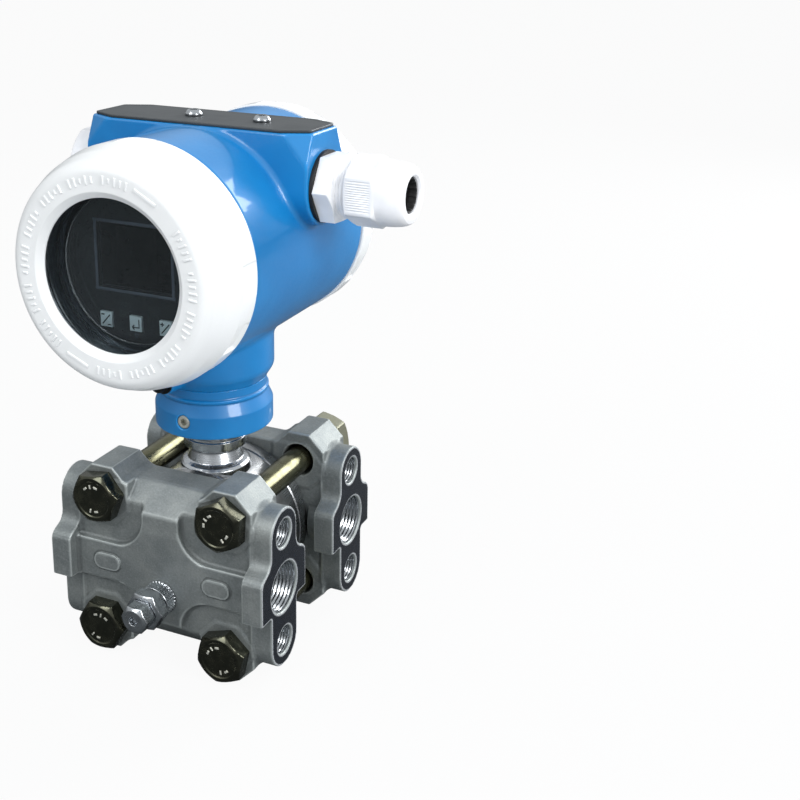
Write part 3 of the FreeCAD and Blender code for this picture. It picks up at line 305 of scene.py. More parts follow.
def skin_of(solid: Solid, low: Point, high: Point, cell: float) -> Skin:
    """Return the surface of a solid.

    Each grid cell that the surface passes through gets one point, the mean of where its
    edges cross zero, and each crossed grid edge joins its four cells in a face. The points
    then step along the distance's slope until they lie on the surface.

    Args:
        solid: the solid.
        low: the grid's lowest corner.
        high: the grid's highest corner.
        cell: the grid's pitch, in millimetres.
    """
    values = sample(solid, low, high, cell)
    inside = values < 0
    size = np.array(values.shape) - 1
    filled = sum(inside[i:i + size[0], j:j + size[1], k:k + size[2]].astype(np.int8)
                 for i, j, k in product((0, 1), repeat=3))
    active = (filled > 0) & (filled < 8)
    cells = np.argwhere(active)
    number = np.full(active.shape, -1)
    number[active] = np.arange(len(cells))
    points = np.array(low, float) + (cells + crossings(values, cells)) * cell
    faces = []
    for axis in Axis:
        first, second = other_axes(axis)
        ahead = np.take(inside, range(1, inside.shape[axis.value]), axis.value)
        behind = np.take(inside, range(inside.shape[axis.value] - 1), axis.value)
        edges = np.argwhere(ahead != behind)
        edges = edges[(edges[:, first] > 0) & (edges[:, second] > 0)]
        leaving = behind[tuple(edges.T)]
        ring = []
        for near, far in ((0, 0), (1, 0), (1, 1), (0, 1)):
            around = edges.copy()
            around[:, first] -= near
            around[:, second] -= far
            ring.append(number[tuple(around.T)])
        quads = np.stack(ring, axis=1)
        flip = leaving == (axis is not Axis.Y)
        quads[~flip] = quads[~flip][:, ::-1]
        faces.append(quads)
    for _ in range(2):
        slope, _ = gradient(solid, points, MOVE_STEP)
        steep = np.maximum((slope**2).sum(axis=1), 0.2)
        step = solid.distance(points) / steep
        points -= np.clip(step, -cell / 2, cell / 2)[:, None] * slope
    slope, _ = gradient(solid, points, NORMAL_STEP)
    normals = slope / np.linalg.norm(slope, axis=1)[:, None]
    _, bend = gradient(solid, points, cell)
    return Skin(points, np.concatenate(faces), normals, np.clip(bend, -2, 2))


# ---------------------------------------------------------------- profiles and surfaces

def rounded(corners: Iterable[Corner], closed: bool = False, steps: int = 6) -> Array:
    """Return an outline with its corners rounded.

    A corner is (u, v) or (u, v, radius). A round replaces its corner by the arc that
    touches both sides: it starts radius times the tangent of half the turn before it.

    Args:
        corners: the corners in order.
        closed: whether the last corner joins the first.
        steps: how many stretches an arc gets.
    """
    rows = list(corners)
    points: list[Array] = []
    for index, row in enumerate(rows):
        here = np.array(row[:2], float)
        radius = row[2] if len(row) > 2 else 0.0
        at_end = not closed and index in (0, len(rows) - 1)
        if radius <= 0 or at_end:
            points.append(here[None])
            continue
        before = np.array(rows[index - 1][:2], float) - here
        after = np.array(rows[(index + 1) % len(rows)][:2], float) - here
        before_length, after_length = np.linalg.norm(before), np.linalg.norm(after)
        before, after = before / before_length, after / after_length
        half = math.acos(float(np.clip(before @ after, -1, 1))) / 2
        if half > math.pi / 2 - 1e-3:
            points.append(here[None])
            continue
        run = min(radius / math.tan(half), before_length * 0.49, after_length * 0.49)
        radius = run * math.tan(half)
        centre = here + (before + after) / np.linalg.norm(before + after) * radius / math.sin(half)
        start, end = here + before * run - centre, here + after * run - centre
        turn = math.atan2(start[0] * end[1] - start[1] * end[0], float(start @ end))
        angle = np.linspace(0, turn, steps + 1)[:, None]
        across = np.array([-start[1], start[0]])
        points.append(centre + np.cos(angle) * start + np.sin(angle) * across)
    return np.concatenate(points)


def divided(profile: Array, longest: float) -> Array:
    """Return a profile with its long stretches divided so that none is over longest."""
    pieces = [profile[:1]]
    for start, end in zip(profile[:-1], profile[1:]):
        count = max(1, math.ceil(np.linalg.norm(end - start) / longest))
        share = np.arange(1, count + 1)[:, None] / count
        pieces.append(start + share * (end - start))
    return np.concatenate(pieces)


Shaping = Callable[[Array, Array, Array], Array]


@dataclass(frozen=True)
class Line:
    """A line that things turn about: its axis, and its place across that axis."""

    axis: Axis
    first: float = 0.0
    second: float = 0.0

    def points(self, along: Array, u: Array, v: Array) -> Array:
        """Return points from their place along the line and across it."""
        points = np.empty((*np.broadcast(along, u, v).shape, 3))
        first, second = other_axes(self.axis)
        points[..., self.axis.value] = along
        points[..., first] = self.first + u
        points[..., second] = self.second + v
        return points


def revolve(line: Line, corners: Iterable[Corner], longest: float, segments: int,
            shaping: Shaping | None = None, closed: bool = False, steps: int = 6) -> Skin:
    """Return an outline with rounded corners carried round a line.

    The point for outline point (a, r) and angle t lies a along the line and, across it,
    at (r cos t, r sin t), where shaping(t, a, r) may first change r.

    Args:
        line: the line.
        corners: (place along the line, radius) or (place, radius, rounding) in order.
        longest: the longest stretch of the outline, in millimetres.
        segments: how many steps go round.
        shaping: gives the radius from angle, place and radius, for what isn't round.
        closed: whether the outline's end joins its start, as in a ring.
        steps: how many stretches a rounded corner gets.
    """
    profile = divided(rounded(corners, closed, steps), longest)
    angle = np.arange(segments) / segments * 2 * math.pi
    along, turn = np.meshgrid(profile[:, 0], angle, indexing="ij")
    radius = np.repeat(profile[:, 1:2], segments, axis=1)
    if shaping is not None:
        radius = np.where(radius > 0, shaping(turn, along, radius), radius)
    points = line.points(along, radius * np.cos(turn), radius * np.sin(turn))
    index = np.arange(len(profile) * segments).reshape(-1, segments)
    index = np.concatenate([index, index[:, :1]], axis=1)
    if closed:
        index = np.concatenate([index, index[:1]], axis=0)
    return Skin(points.reshape(-1, 3), quads_of(index))


def quads_of(index: Array) -> Array:
    """Return the four-sided faces between the rows and columns of a grid of points."""
    faces = np.stack([index[:-1, :-1], index[1:, :-1], index[1:, 1:], index[:-1, 1:]], axis=-1)
    return faces.reshape(-1, 4)


def soft_min(first: Array, second: Array, width: float) -> Array:
    """Return min(first, second), eased over width: the mean less half a hyperbola."""
    return (first + second - np.sqrt((first - second)**2 + width**2)) / 2


def faded(along: Array, low: float, high: float, run: float) -> Array:
    """Return 1 between low and high and 0 outside, rising over run inside both ends."""
    return np.clip(np.minimum(along - low, high - along) / run, 0, 1)


def off_middle(turn: Array, pitch: float, first: float = 0.0) -> Array:
    """Return each angle's offset from the nearest of middles pitch apart, the first at first."""
    return np.mod(turn - first + pitch / 2, pitch) - pitch / 2


def flats(across: float, sides: int, first: float = 0.0, ease: float = 0.15) -> Shaping:
    """Return a shaping that cuts flats: radius <= half across / cos(angle to the flat).

    Args:
        across: the distance between opposite flats.
        sides: how many flats there are.
        first: the angle of the first flat's middle, in degrees.
        ease: how far the edges are eased, in millimetres.
    """

    def shape(turn: Array, along: Array, radius: Array) -> Array:
        off = off_middle(turn, 2 * math.pi / sides, math.radians(first))
        return soft_min(radius, across / 2 / np.cos(off), ease)

    return shape


def waves(count: int, depth: float, low: float, high: float, power: float = 1.0) -> Shaping:
    """Return a shaping that sinks count grooves between low and high along the line.

    The depth follows (half of 1 - cos(count t)) to a power, faded in over 0.3 mm.
    """
    return lambda turn, along, radius: (radius - depth * faded(along, low, high, 0.3)
                                        * ((1 - np.cos(count * turn)) / 2)**power)


def helix(pitch: float, depth: float, low: float, high: float) -> Shaping:
    """Return a shaping that cuts a thread: a triangle wave of along / pitch + turns."""

    def shape(turn: Array, along: Array, radius: Array) -> Array:
        phase = np.mod(along / pitch + turn / (2 * math.pi), 1)
        return radius - depth * faded(along, low, high, pitch) * np.abs(2 * phase - 1)

    return shape


def within(low: float, high: float, shaping: Shaping) -> Shaping:
    """Return a shaping that only acts on radii from low to high, as in a screw's recess."""
    return lambda turn, along, radius: np.where((radius > low) & (radius <= high),
                                                shaping(turn, along, radius), radius)


def chained(*shapings: Shaping) -> Shaping:
    """Return several shapings as one, applied in turn."""

    def shape(turn: Array, along: Array, radius: Array) -> Array:
        for shaping in shapings:
            radius = shaping(turn, along, radius)
        return radius

    return shape


def lugs(count: int, half_angle: float, valley: float, low: float, high: float) -> Shaping:
    """Return a shaping that sinks gaps to the valley radius between lugs.

    Gap n has its middle at 360 n / count degrees. Its floor rises to the lugs along a
    smooth step 1 mm wide at its sides and ends.
    """

    def shape(turn: Array, along: Array, radius: Array) -> Array:
        off = np.abs(off_middle(turn, 2 * math.pi / count))
        side = (off - math.radians(half_angle)) * radius + 0.5
        end = np.maximum(low - along, along - high) + 0.5
        share = np.clip(np.maximum(side, end), 0, 1)
        share = share * share * (3 - 2 * share)
        return np.where(radius > valley, valley + (radius - valley) * share, radius)

    return shape


def merged(skins: Sequence[Skin]) -> Skin:
    """Return several skins as one."""
    starts = np.cumsum([0] + [len(skin.points) for skin in skins[:-1]])
    faces = [skin.faces + start for skin, start in zip(skins, starts)]
    return Skin(np.concatenate([skin.points for skin in skins]), np.concatenate(faces))


def moved(skin: Skin, matrix: Array) -> Skin:
    """Return a skin turned or mirrored about the neck's origin by a 3 x 3 matrix."""
    normals = None if skin.normals is None else skin.normals @ matrix.T
    faces = skin.faces if np.linalg.det(matrix) > 0 else skin.faces[:, ::-1]
    return Skin(skin.points @ matrix.T, faces, normals, skin.curvature)


def about_neck(degrees: float) -> Array:
    """Return the matrix of a turn about the neck's axis."""
    angle = math.radians(degrees)
    return np.array([[math.cos(angle), -math.sin(angle), 0],
                     [math.sin(angle), math.cos(angle), 0], [0, 0, 1]])


# ---------------------------------------------------------------- meshes

def mesh_from(name: str, skin: Skin, crease: float = 40.0) -> bpy.types.Object:
    """Return a mesh object made of a skin, in the frame and in metres.

    Args:
        name: the piece's name.
        skin: its surface.
        crease: edges sharper than this many degrees stay sharp.
    """
    mesh = bpy.data.meshes.new(name)
    points = (skin.points + NECK) * MM
    mesh.vertices.add(len(points))
    mesh.vertices.foreach_set("co", points.ravel())
    sides = skin.faces.shape[1]
    mesh.loops.add(skin.faces.size)
    mesh.loops.foreach_set("vertex_index", skin.faces.ravel())
    mesh.polygons.add(len(skin.faces))
    mesh.polygons.foreach_set("loop_start", np.arange(len(skin.faces)) * sides)
    mesh.update(calc_edges=True)
    if skin.curvature is not None:
        # The surface's bend drives the painted shade in hollows and the painted highlights on edges
        # of the cast looks.
        curvature_layer = mesh.attributes.new("bend", "FLOAT", "POINT")
        curvature_layer.data.foreach_set("value", skin.curvature.astype(np.float32))
    piece = bpy.data.objects.new(name, mesh)
    bpy.context.scene.collection.objects.link(piece)
    if skin.normals is None:
        tidy(mesh)
        mesh.shade_smooth()
        mesh.set_sharp_from_angle(angle=math.radians(crease))
    else:
        mesh.shade_smooth()
        mesh.normals_split_custom_set_from_vertices(skin.normals)
    return piece


def tidy(mesh: bpy.types.Mesh) -> None:
    """Join doubled points at poles and turn every face outwards."""
    shape = bmesh.new()
    shape.from_mesh(mesh)
    bmesh.ops.remove_doubles(shape, verts=shape.verts, dist=2e-6)
    bmesh.ops.dissolve_degenerate(shape, edges=shape.edges, dist=1e-6)
    bmesh.ops.recalc_face_normals(shape, faces=shape.faces)
    shape.to_mesh(mesh)
    shape.free()


# ---------------------------------------------------------------- shader graphs

class Value:
    """A shader socket on which Python's operators add Math nodes."""

    def __init__(self, graph: "Graph", socket: bpy.types.NodeSocket) -> None:
        """Keep the socket and the graph that new nodes go into."""
        self.graph = graph
        self.socket = socket

    def __add__(self, other: "Value | float") -> "Value":
        """Return self + other."""
        return self.graph.math("ADD", self, other)

    def __sub__(self, other: "Value | float") -> "Value":
        """Return self - other."""
        return self.graph.math("SUBTRACT", self, other)

    def __rsub__(self, other: float) -> "Value":
        """Return other - self."""
        return self.graph.math("SUBTRACT", other, self)

    def __mul__(self, other: "Value | float") -> "Value":
        """Return self * other."""
        return self.graph.math("MULTIPLY", self, other)

    def __abs__(self) -> "Value":
        """Return the size of self without its sign."""
        return self.graph.math("ABSOLUTE", self)

    __radd__ = __add__
    __rmul__ = __mul__

    def ramp(self, low: float, high: float) -> "Value":
        """Return 0 below low, 1 above high and a smooth rise between them."""
        ends = {"Value": self, "From Min": low, "From Max": high}
        settings = {"interpolation_type": "SMOOTHSTEP"}
        return self.graph.node("ShaderNodeMapRange", settings, ends, "Result")


Input = Value | float | Sequence[float]


class Graph:
    """The node tree of a material or a world, and the means to add nodes."""

    def __init__(self, owner: bpy.types.Material | bpy.types.World) -> None:
        """Find the tree's output and, in a material, its shader."""
        owner.use_nodes = True
        self.tree = owner.node_tree
        self.nodes = self.tree.nodes
        self.shader = self.nodes.get("Principled BSDF")
        self.output = next(node for node in self.nodes if node.type.startswith("OUTPUT"))

    def node(self, kind: str, settings: dict[str, object], inputs: dict[str | int, Input],
             output: str | int = 0) -> Value:
        """Add a node and return one of its outputs.

        Args:
            kind: the node's type.
            settings: its properties, which are set first.
            inputs: values or links of its sockets, by name or number.
            output: the output's name or number.
        """
        node = self.nodes.new(kind)
        for name, value in settings.items():
            setattr(node, name, value)
        for name, value in inputs.items():
            self.feed(node.inputs[name], value)
        return Value(self, node.outputs[output])

    def feed(self, socket: bpy.types.NodeSocket, value: Input) -> None:
        """Link a value to a socket, or set the socket to a plain number or colour."""
        if isinstance(value, Value):
            self.tree.links.new(value.socket, socket)
        else:
            socket.default_value = value

    def math(self, operation: str, first: Input, second: Input = 0.0) -> Value:
        """Add a Math node."""
        return self.node("ShaderNodeMath", {"operation": operation}, {0: first, 1: second})

    def mix(self, share: Input, first: Input, second: Input) -> Value:
        """Return the first colour turned into the second by share."""
        sockets = {"Factor": share, "A": first, "B": second}
        node = self.nodes.new("ShaderNodeMix")
        node.data_type = "RGBA"
        for socket in node.inputs:
            if socket.enabled and socket.name in sockets:
                self.feed(socket, sockets[socket.name])
        result = next(socket for socket in node.outputs if socket.enabled)
        return Value(self, result)

    def place(self) -> Value:
        """Return the place on the piece, in metres."""
        return self.node("ShaderNodeTexCoord", {}, {}, "Object")

    def part(self, axis: Axis) -> Value:
        """Return one coordinate of the place about the neck, in millimetres."""
        along = self.node("ShaderNodeSeparateXYZ", {}, {"Vector": self.place()}, axis.value)
        return along * (1 / MM) - float(NECK[axis.value])

    def noise(self, grain: float, detail: float = 3.0, rough: float = 0.55,
              stretch: Point = (1.0, 1.0, 1.0)) -> Value:
        """Return noise from 0 to 1 whose features are grain millimetres wide."""
        scale = tuple(1 / (grain * MM) * share for share in stretch)
        vector = self.node("ShaderNodeMapping", {}, {"Vector": self.place(), "Scale": scale})
        sockets = {"Vector": vector, "Scale": 1.0, "Detail": detail, "Roughness": rough}
        return self.node("ShaderNodeTexNoise", {}, sockets, 0)

    def cells(self, grain: float) -> Value:
        """Return the distance to the nearest of points grain millimetres apart."""
        sockets = {"Vector": self.place(), "Scale": 1 / (grain * MM)}
        return self.node("ShaderNodeTexVoronoi", {}, sockets, "Distance")

    def bend(self) -> Value:
        """Return how far the surface bends outwards, from the piece's own attribute."""
        return self.node("ShaderNodeAttribute", {"attribute_name": "bend"}, {}, "Fac")

    def bump(self, height: Value, depth: float, under: Value | None = None) -> Value:
        """Return normals bent by a height from 0 to 1 that is depth millimetres deep."""
        sockets = {"Height": height, "Distance": depth * MM, "Strength": 1.0}
        if under is not None:
            sockets["Normal"] = under
        return self.node("ShaderNodeBump", {}, sockets)

    def finish(self, **sockets: Input) -> None:
        """Feed the shader's sockets, which are named with underscores."""
        for name, value in sockets.items():
            self.feed(self.shader.inputs[name.replace("_", " ").title()], value)

    def show(self, share: Input, first: Value | None, second: Value) -> None:
        """Show the first shader turned into the second by share.

        Args:
            share: 0 for the first, 1 for the second.
            first: a shader, or None for the graph's own.
            second: a shader.
        """
        first = first or Value(self, self.shader.outputs[0])
        mix = self.node("ShaderNodeMixShader", {}, {0: share, 1: first, 2: second})
        self.feed(self.output.inputs["Surface"], mix)


WHITE: Colour = (1.0, 1.0, 1.0, 1.0)


def tone(red: float, green: float, blue: float) -> Colour:
    """Return a colour given from 0 to 255 as it looks, turned to the linear one."""
    shares = np.array([red, green, blue]) / 255
    linear = np.where(shares <= 0.04045, shares / 12.92, ((shares + 0.055) / 1.055)**2.4)
    return (*linear.tolist(), 1.0)


def dim(colour: Colour, share: float) -> Colour:
    """Return a colour with its brightness multiplied by share."""
    return (colour[0] * share, colour[1] * share, colour[2] * share, 1.0)


@dataclass(frozen=True)
class Look:
    """What a piece is covered with: a colour, and the nodes that each kind of look adds."""

    colour: Colour

    def paint(self, graph: Graph) -> None:
        """Add the look's nodes to a material's graph."""
        raise NotImplementedError

    def make(self, name: str) -> bpy.types.Material:
        """Return a new material with this look."""
        material = bpy.data.materials.new(name)
        self.paint(Graph(material))
        return material


@dataclass(frozen=True)
class Enamel(Look):
    """Sprayed or powder-coated paint: a fine orange peel under a clear gloss."""

    roughness: float = 0.3
    peel: float = 2.2
    peel_depth: float = 0.012
    coat: float = 0.25
    shade: float = 0.95

    def paint(self, graph: Graph) -> None:
        """Add large clouds of shade, the peel and a little dust."""
        cloud = graph.noise(28.0, 2.0)
        peel = graph.noise(self.peel, 2.0, 0.4)
        dust = graph.noise(0.35, 1.0)
        colour = graph.mix(cloud.ramp(0.3, 0.7), dim(self.colour, self.shade), self.colour)
        graph.finish(base_color=colour, roughness=self.roughness + (dust - 0.5) * 0.12,
                     coat_weight=self.coat, coat_roughness=0.12,
                     normal=graph.bump(peel, self.peel_depth))


@dataclass(frozen=True)
class CastPaint(Look):
    """Paint over a sand-grained casting: grain shows through, hollows carry painted shade and
    convex edges a painted highlight.
    """

    deep: Colour
    roughness: float = 0.42
    coat: float = 0.5

    def paint(self, graph: Graph) -> None:
        """Add clouds, painted shade in hollows, painted highlight on edges, and the casting's grain
        and swell.
        """
        cloud = graph.noise(34.0, 3.0).ramp(0.3, 0.72)
        bend = graph.bend()
        colour = graph.mix(cloud, self.deep, self.colour)
        # Painted shade: hollows are darkened towards a dim deep colour.
        colour = graph.mix((bend * -1).ramp(0.15, 0.9) * 0.45, colour, dim(self.deep, 0.6))
        # Painted highlight: convex edges are lightened.
        colour = graph.mix(bend.ramp(0.5, 1.8) * 0.3, colour, dim(self.colour, 1.5))
        grain = graph.noise(0.9, 3.0, 0.6)
        swell = graph.noise(7.0, 2.0, 0.5)
        graph.finish(base_color=colour, roughness=self.roughness + (grain - 0.5) * 0.16,
                     coat_weight=self.coat, coat_roughness=0.06,
                     normal=graph.bump(swell, 0.05, graph.bump(grain, 0.012)))


@dataclass(frozen=True)
class CastSteel(Look):
    """Shot-blasted cast stainless steel whose end faces are cut smooth and painted dark as shade.
    """

    dark: Colour
    end_face_shade: Colour
    face: float
    metallic: float = 0.6

    def paint(self, graph: Graph) -> None:
        """Add stains, specks, painted shade in hollows, painted highlights on edges, grain, and the
        smooth end faces painted dark as shade.
        """
        cut = abs(graph.part(Axis.X)).ramp(self.face - 0.12, self.face - 0.05)
        cloud = graph.noise(14.0, 4.0, 0.6).ramp(0.3, 0.72)
        speck = graph.noise(0.7, 3.0, 0.7)
        bend = graph.bend()
        colour = graph.mix(cloud, self.dark, self.colour)
        colour = graph.mix(speck.ramp(0.45, 0.75) * 0.3, colour, dim(self.colour, 1.55))
        colour = graph.mix((0.5 - speck).ramp(0.03, 0.25) * 0.35, colour, dim(self.dark, 0.55))
        # Painted shade: hollows are darkened.
        colour = graph.mix((bend * -1).ramp(0.15, 0.9) * 0.5, colour, dim(self.dark, 0.4))
        # Painted highlight: convex edges are lightened.
        colour = graph.mix(bend.ramp(0.35, 1.5) * 0.5, colour, dim(self.colour, 2.1))
        # Painted shade: the end faces get a near-black colour.
        shaded_end_face = graph.mix(graph.noise(6.0, 3.0).ramp(0.3, 0.7), dim(self.end_face_shade, 0.8),
                                self.end_face_shade)
        # Painted highlight: the end faces' edges turn pale.
        edge = graph.mix(bend.ramp(0.2, 0.9), shaded_end_face, tone(214, 218, 222))
        grain = graph.noise(0.5, 3.0, 0.65) * 0.7 + graph.cells(0.8) * 0.5
        swell = graph.bump(graph.noise(9.0, 2.0), 0.16)
        graph.finish(base_color=graph.mix(cut, colour, edge), metallic=self.metallic,
                     roughness=0.52 + (speck - 0.5) * 0.25 - cut * 0.24,
                     normal=graph.bump(grain * (1 - cut * 0.95), 0.085, swell))


@dataclass(frozen=True)
class Steel(Look):
    """Turned or rolled metal with fine lines along or round an axis and light stains."""

    stain: Colour
    roughness: float = 0.3
    metallic: float = 1.0
    lines: float = 0.25
    stretch: Point = (1.0, 1.0, 1.0)
    depth: float = 0.01
    patches: float = 6.0

    def paint(self, graph: Graph) -> None:
        """Add the stains and the lines."""
        cloud = graph.noise(self.patches, 4.0, 0.6).ramp(0.4, 0.75)
        lines = graph.noise(self.lines, 2.0, 0.5, self.stretch)
        graph.finish(base_color=graph.mix(cloud * 0.6, self.colour, self.stain),
                     roughness=self.roughness + (lines - 0.5) * 0.15 + cloud * 0.1,
                     metallic=self.metallic, normal=graph.bump(lines, self.depth))


@dataclass(frozen=True)
class Moulded(Look):
    """Moulded plastic or rubber with a fine matt grain."""

    roughness: float = 0.5
    grain: float = 0.4
    depth: float = 0.008

    def paint(self, graph: Graph) -> None:
        """Add clouds of shade and the grain."""
        cloud = graph.noise(14.0, 2.0)
        grain = graph.noise(self.grain, 2.0)
        graph.finish(base_color=graph.mix(cloud.ramp(0.3, 0.7), dim(self.colour, 0.82),
                                          self.colour),
                     roughness=self.roughness + (grain - 0.5) * 0.15, metallic=0.0,
                     normal=graph.bump(grain, self.depth))


@dataclass(frozen=True)
class Pane(Look):
    """Clear window glass: mostly see-through, with a mirror gloss that grows at an angle."""

    haze: float = 0.006

    def paint(self, graph: Graph) -> None:
        """Add the clear part, and the gloss with its haze and smears over it."""
        clear = graph.node("ShaderNodeBsdfTransparent", {}, {"Color": self.colour})
        smear = graph.noise(16.0, 3.0).ramp(0.35, 0.8)
        gloss = graph.node("ShaderNodeFresnel", {}, {"IOR": 1.45})
        graph.finish(base_color=(0.95, 0.98, 1.0, 1.0), metallic=1.0, roughness=0.03)
        mirror = Value(graph, graph.shader.outputs[0])
        graph.show(gloss * 0.85 + self.haze + smear * 0.008, clear, mirror)


# ---------------------------------------------------------------- finishes

LOOKS: dict[str, Look] = {
    "housing_blue": CastPaint(tone(2, 123, 189), tone(2, 111, 175)),
    "cover_white": Enamel(tone(234, 236, 237)),
    # The third colour is the painted shade of the flanges' end faces.
    "cast_steel": CastSteel(tone(142, 147, 146), tone(120, 126, 127), tone(36, 41, 50), face=43.0),
    "cell_steel": Steel(tone(168, 170, 172), tone(120, 118, 116), 0.27,
                        stretch=(1.0, 0.02, 1.0), lines=0.5),
    "spigot_steel": Steel(tone(186, 190, 194), tone(140, 142, 144), 0.22,
                          stretch=(0.02, 0.02, 1.0), lines=0.4),
    "bolt_steel": Steel(tone(76, 77, 67), tone(108, 106, 90), 0.2,
                        patches=4.0, depth=0.008, lines=0.5),
    "passivated": Steel(tone(108, 107, 84), tone(80, 77, 54), 0.2, 0.95,
                        patches=5.0, stretch=(1.0, 0.05, 1.0), lines=0.4),
    "nut_steel": Steel(tone(146, 146, 128), tone(120, 118, 94), 0.36, 0.7,
                       patches=5.0, lines=0.5),
    "bright_steel": Steel(tone(184, 188, 192), tone(130, 132, 134), 0.2, patches=3.0, lines=0.4),
    "nickel": Steel(tone(196, 196, 194), tone(146, 144, 138), 0.2,
                    patches=7.0, lines=0.6, depth=0.012),
    "worn_mark": Steel(tone(206, 206, 196), tone(170, 168, 152), 0.5, 0.6),
    "plate_grey": Steel(tone(66, 70, 73), tone(58, 62, 65), 0.45, 0.3,
                        stretch=(0.03, 1.0, 1.0), lines=0.35, patches=30.0),
    "black_steel": Steel(tone(44, 46, 50), tone(30, 30, 32), 0.34, 0.8, lines=0.4),
    "nylon_white": Moulded(tone(240, 241, 244), 0.34, grain=0.5, depth=0.004),
    "print_dark": Moulded(tone(22, 26, 30)),
    "rubber": Moulded(tone(24, 24, 25), 0.62),
    "gasket": Moulded(tone(214, 212, 204)),
    "display_black": Moulded(tone(11, 16, 21), 0.3, grain=0.7, depth=0.003),
    # Lighter grey of the display's ring and ledges: partly their own colour, partly painted
    # highlight along the steps.
    "display_grey": Moulded(tone(84, 90, 100), 0.22, grain=0.7, depth=0.003),
    "lcd": Moulded(tone(26, 39, 40), 0.12, grain=2.5, depth=0.002),
    "gloss_black": Moulded(tone(44, 49, 56), 0.12, grain=3.0, depth=0.004),
    "icon": Moulded(tone(234, 246, 246)),
    "board_green": Moulded(tone(24, 84, 52), 0.4, grain=1.2),
    "potting": Moulded(tone(20, 20, 22), 0.35, grain=3.0, depth=0.05),
    "glass": Pane((0.90, 0.94, 0.96, 1.0)),
}

# The CAD nodes that show their own mesh, under each look's name.
CAD_LOOKS = {
    "rubber": ("neck_seal", "front_cover_seal", "rear_cover_seal", "gland_washer", "plug_washer"),
    "bright_steel": ("isolating_diaphragms",), "gasket": ("flange_gaskets",),
    "lcd": ("lcd_panel",), "board_green": ("display_board",),
    "nickel": ("display_pillars", "terminal_screws"),
    "potting": ("electronics_module", "terminal_block"),
}


@lru_cache(maxsize=None)
def material_of(look: str) -> bpy.types.Material:
    """Return the material of that look, made on its first use."""
    return LOOKS[look].make(look)


def dress(piece: bpy.types.Object, look: str) -> None:
    """Give a piece or a CAD node one look."""
    piece.data.materials.clear()
    piece.data.materials.append(material_of(look))


def fit(name: str, skin: Skin, body: Body, look: str, stands_for: Sequence[str] = (),
        crease: float = 40.0) -> None:
    """Make a piece from a skin and hand it to the frame.

    Args:
        name: the piece's name.
        skin: its surface.
        body: the body it rides on.
        look: its look's name.
        stands_for: the CAD nodes that it replaces.
        crease: edges sharper than this many degrees stay sharp.
    """
    piece = mesh_from(name, skin, crease)
    dress(piece, look)
    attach(piece, body.value)
    if stands_for:
        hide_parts(*stands_for)
    LOG.info("%s: %d faces on %s", name, len(piece.data.polygons), body.value)


def cushion(centre: Point, degrees: float, size: Point, edge: float) -> Skin:
    """Return a low block with rounded edges that faces the front, closed at its back.

    Its face is a grid whose borders fall away along a quarter circle of radius edge.

    Args:
        centre: the middle of its back.
        degrees: the turn of its width from +X towards +Z.
        size: its width, height and depth.
        edge: the radius of its front edges.
    """
    width, height, depth = size
    turn = math.radians(degrees)
    across = np.array([math.cos(turn), 0, math.sin(turn)])
    up = np.array([-math.sin(turn), 0, math.cos(turn)])
    angle = np.linspace(0, math.pi / 2, 4)
    steps = np.concatenate([[0.0], edge * (1 - np.cos(angle))])
    drops = np.concatenate([[depth], edge * (1 - np.sin(angle))])
    u = np.concatenate([steps - width / 2, (width / 2 - steps)[::-1]])
    v = np.concatenate([steps - height / 2, (height / 2 - steps)[::-1]])
    drop = np.concatenate([drops, drops[::-1]])
    grid_u, grid_v = np.meshgrid(u, v, indexing="ij")
    level = depth - np.maximum(drop[:, None], drop[None, :])
    points = np.array(centre) + grid_u[..., None] * across + grid_v[..., None] * up
    points[..., Axis.Y.value] -= level
    index = np.arange(grid_u.size).reshape(grid_u.shape)
    back = index[[0, -1, -1, 0], [0, 0, -1, -1]][None, ::-1]
    return Skin(points.reshape(-1, 3), np.concatenate([quads_of(index), back]))


def stroke(start: tuple[float, float], end: tuple[float, float], y: float, width: float,
           depth: float, edge: float, length: float | None = None) -> Skin:
    """Return a bar that faces the front, from one (x, z) to another.

    Args:
        start: one end's x and z.
        end: the other end's x and z.
        y: the place of its back.
        width: how wide it is.
        depth: how far it stands out.
        edge: the radius of its front edges.
        length: how long it is, about its middle, if not from end to end.
    """
    run_x, run_z = end[0] - start[0], end[1] - start[1]
    centre = ((start[0] + end[0]) / 2, y, (start[1] + end[1]) / 2)
    size = (length or math.hypot(run_x, run_z), width, depth)
    return cushion(centre, math.degrees(math.atan2(run_z, run_x)), size, edge)


# ---------------------------------------------------------------- process side

# The through bolts' places: x about the neck and z about the ports' centre line.
BOLTS = tuple(product((-24.9, 24.9), (-25.2, 25.2)))
MIRROR = np.diag([1.0, -1.0, 1.0])


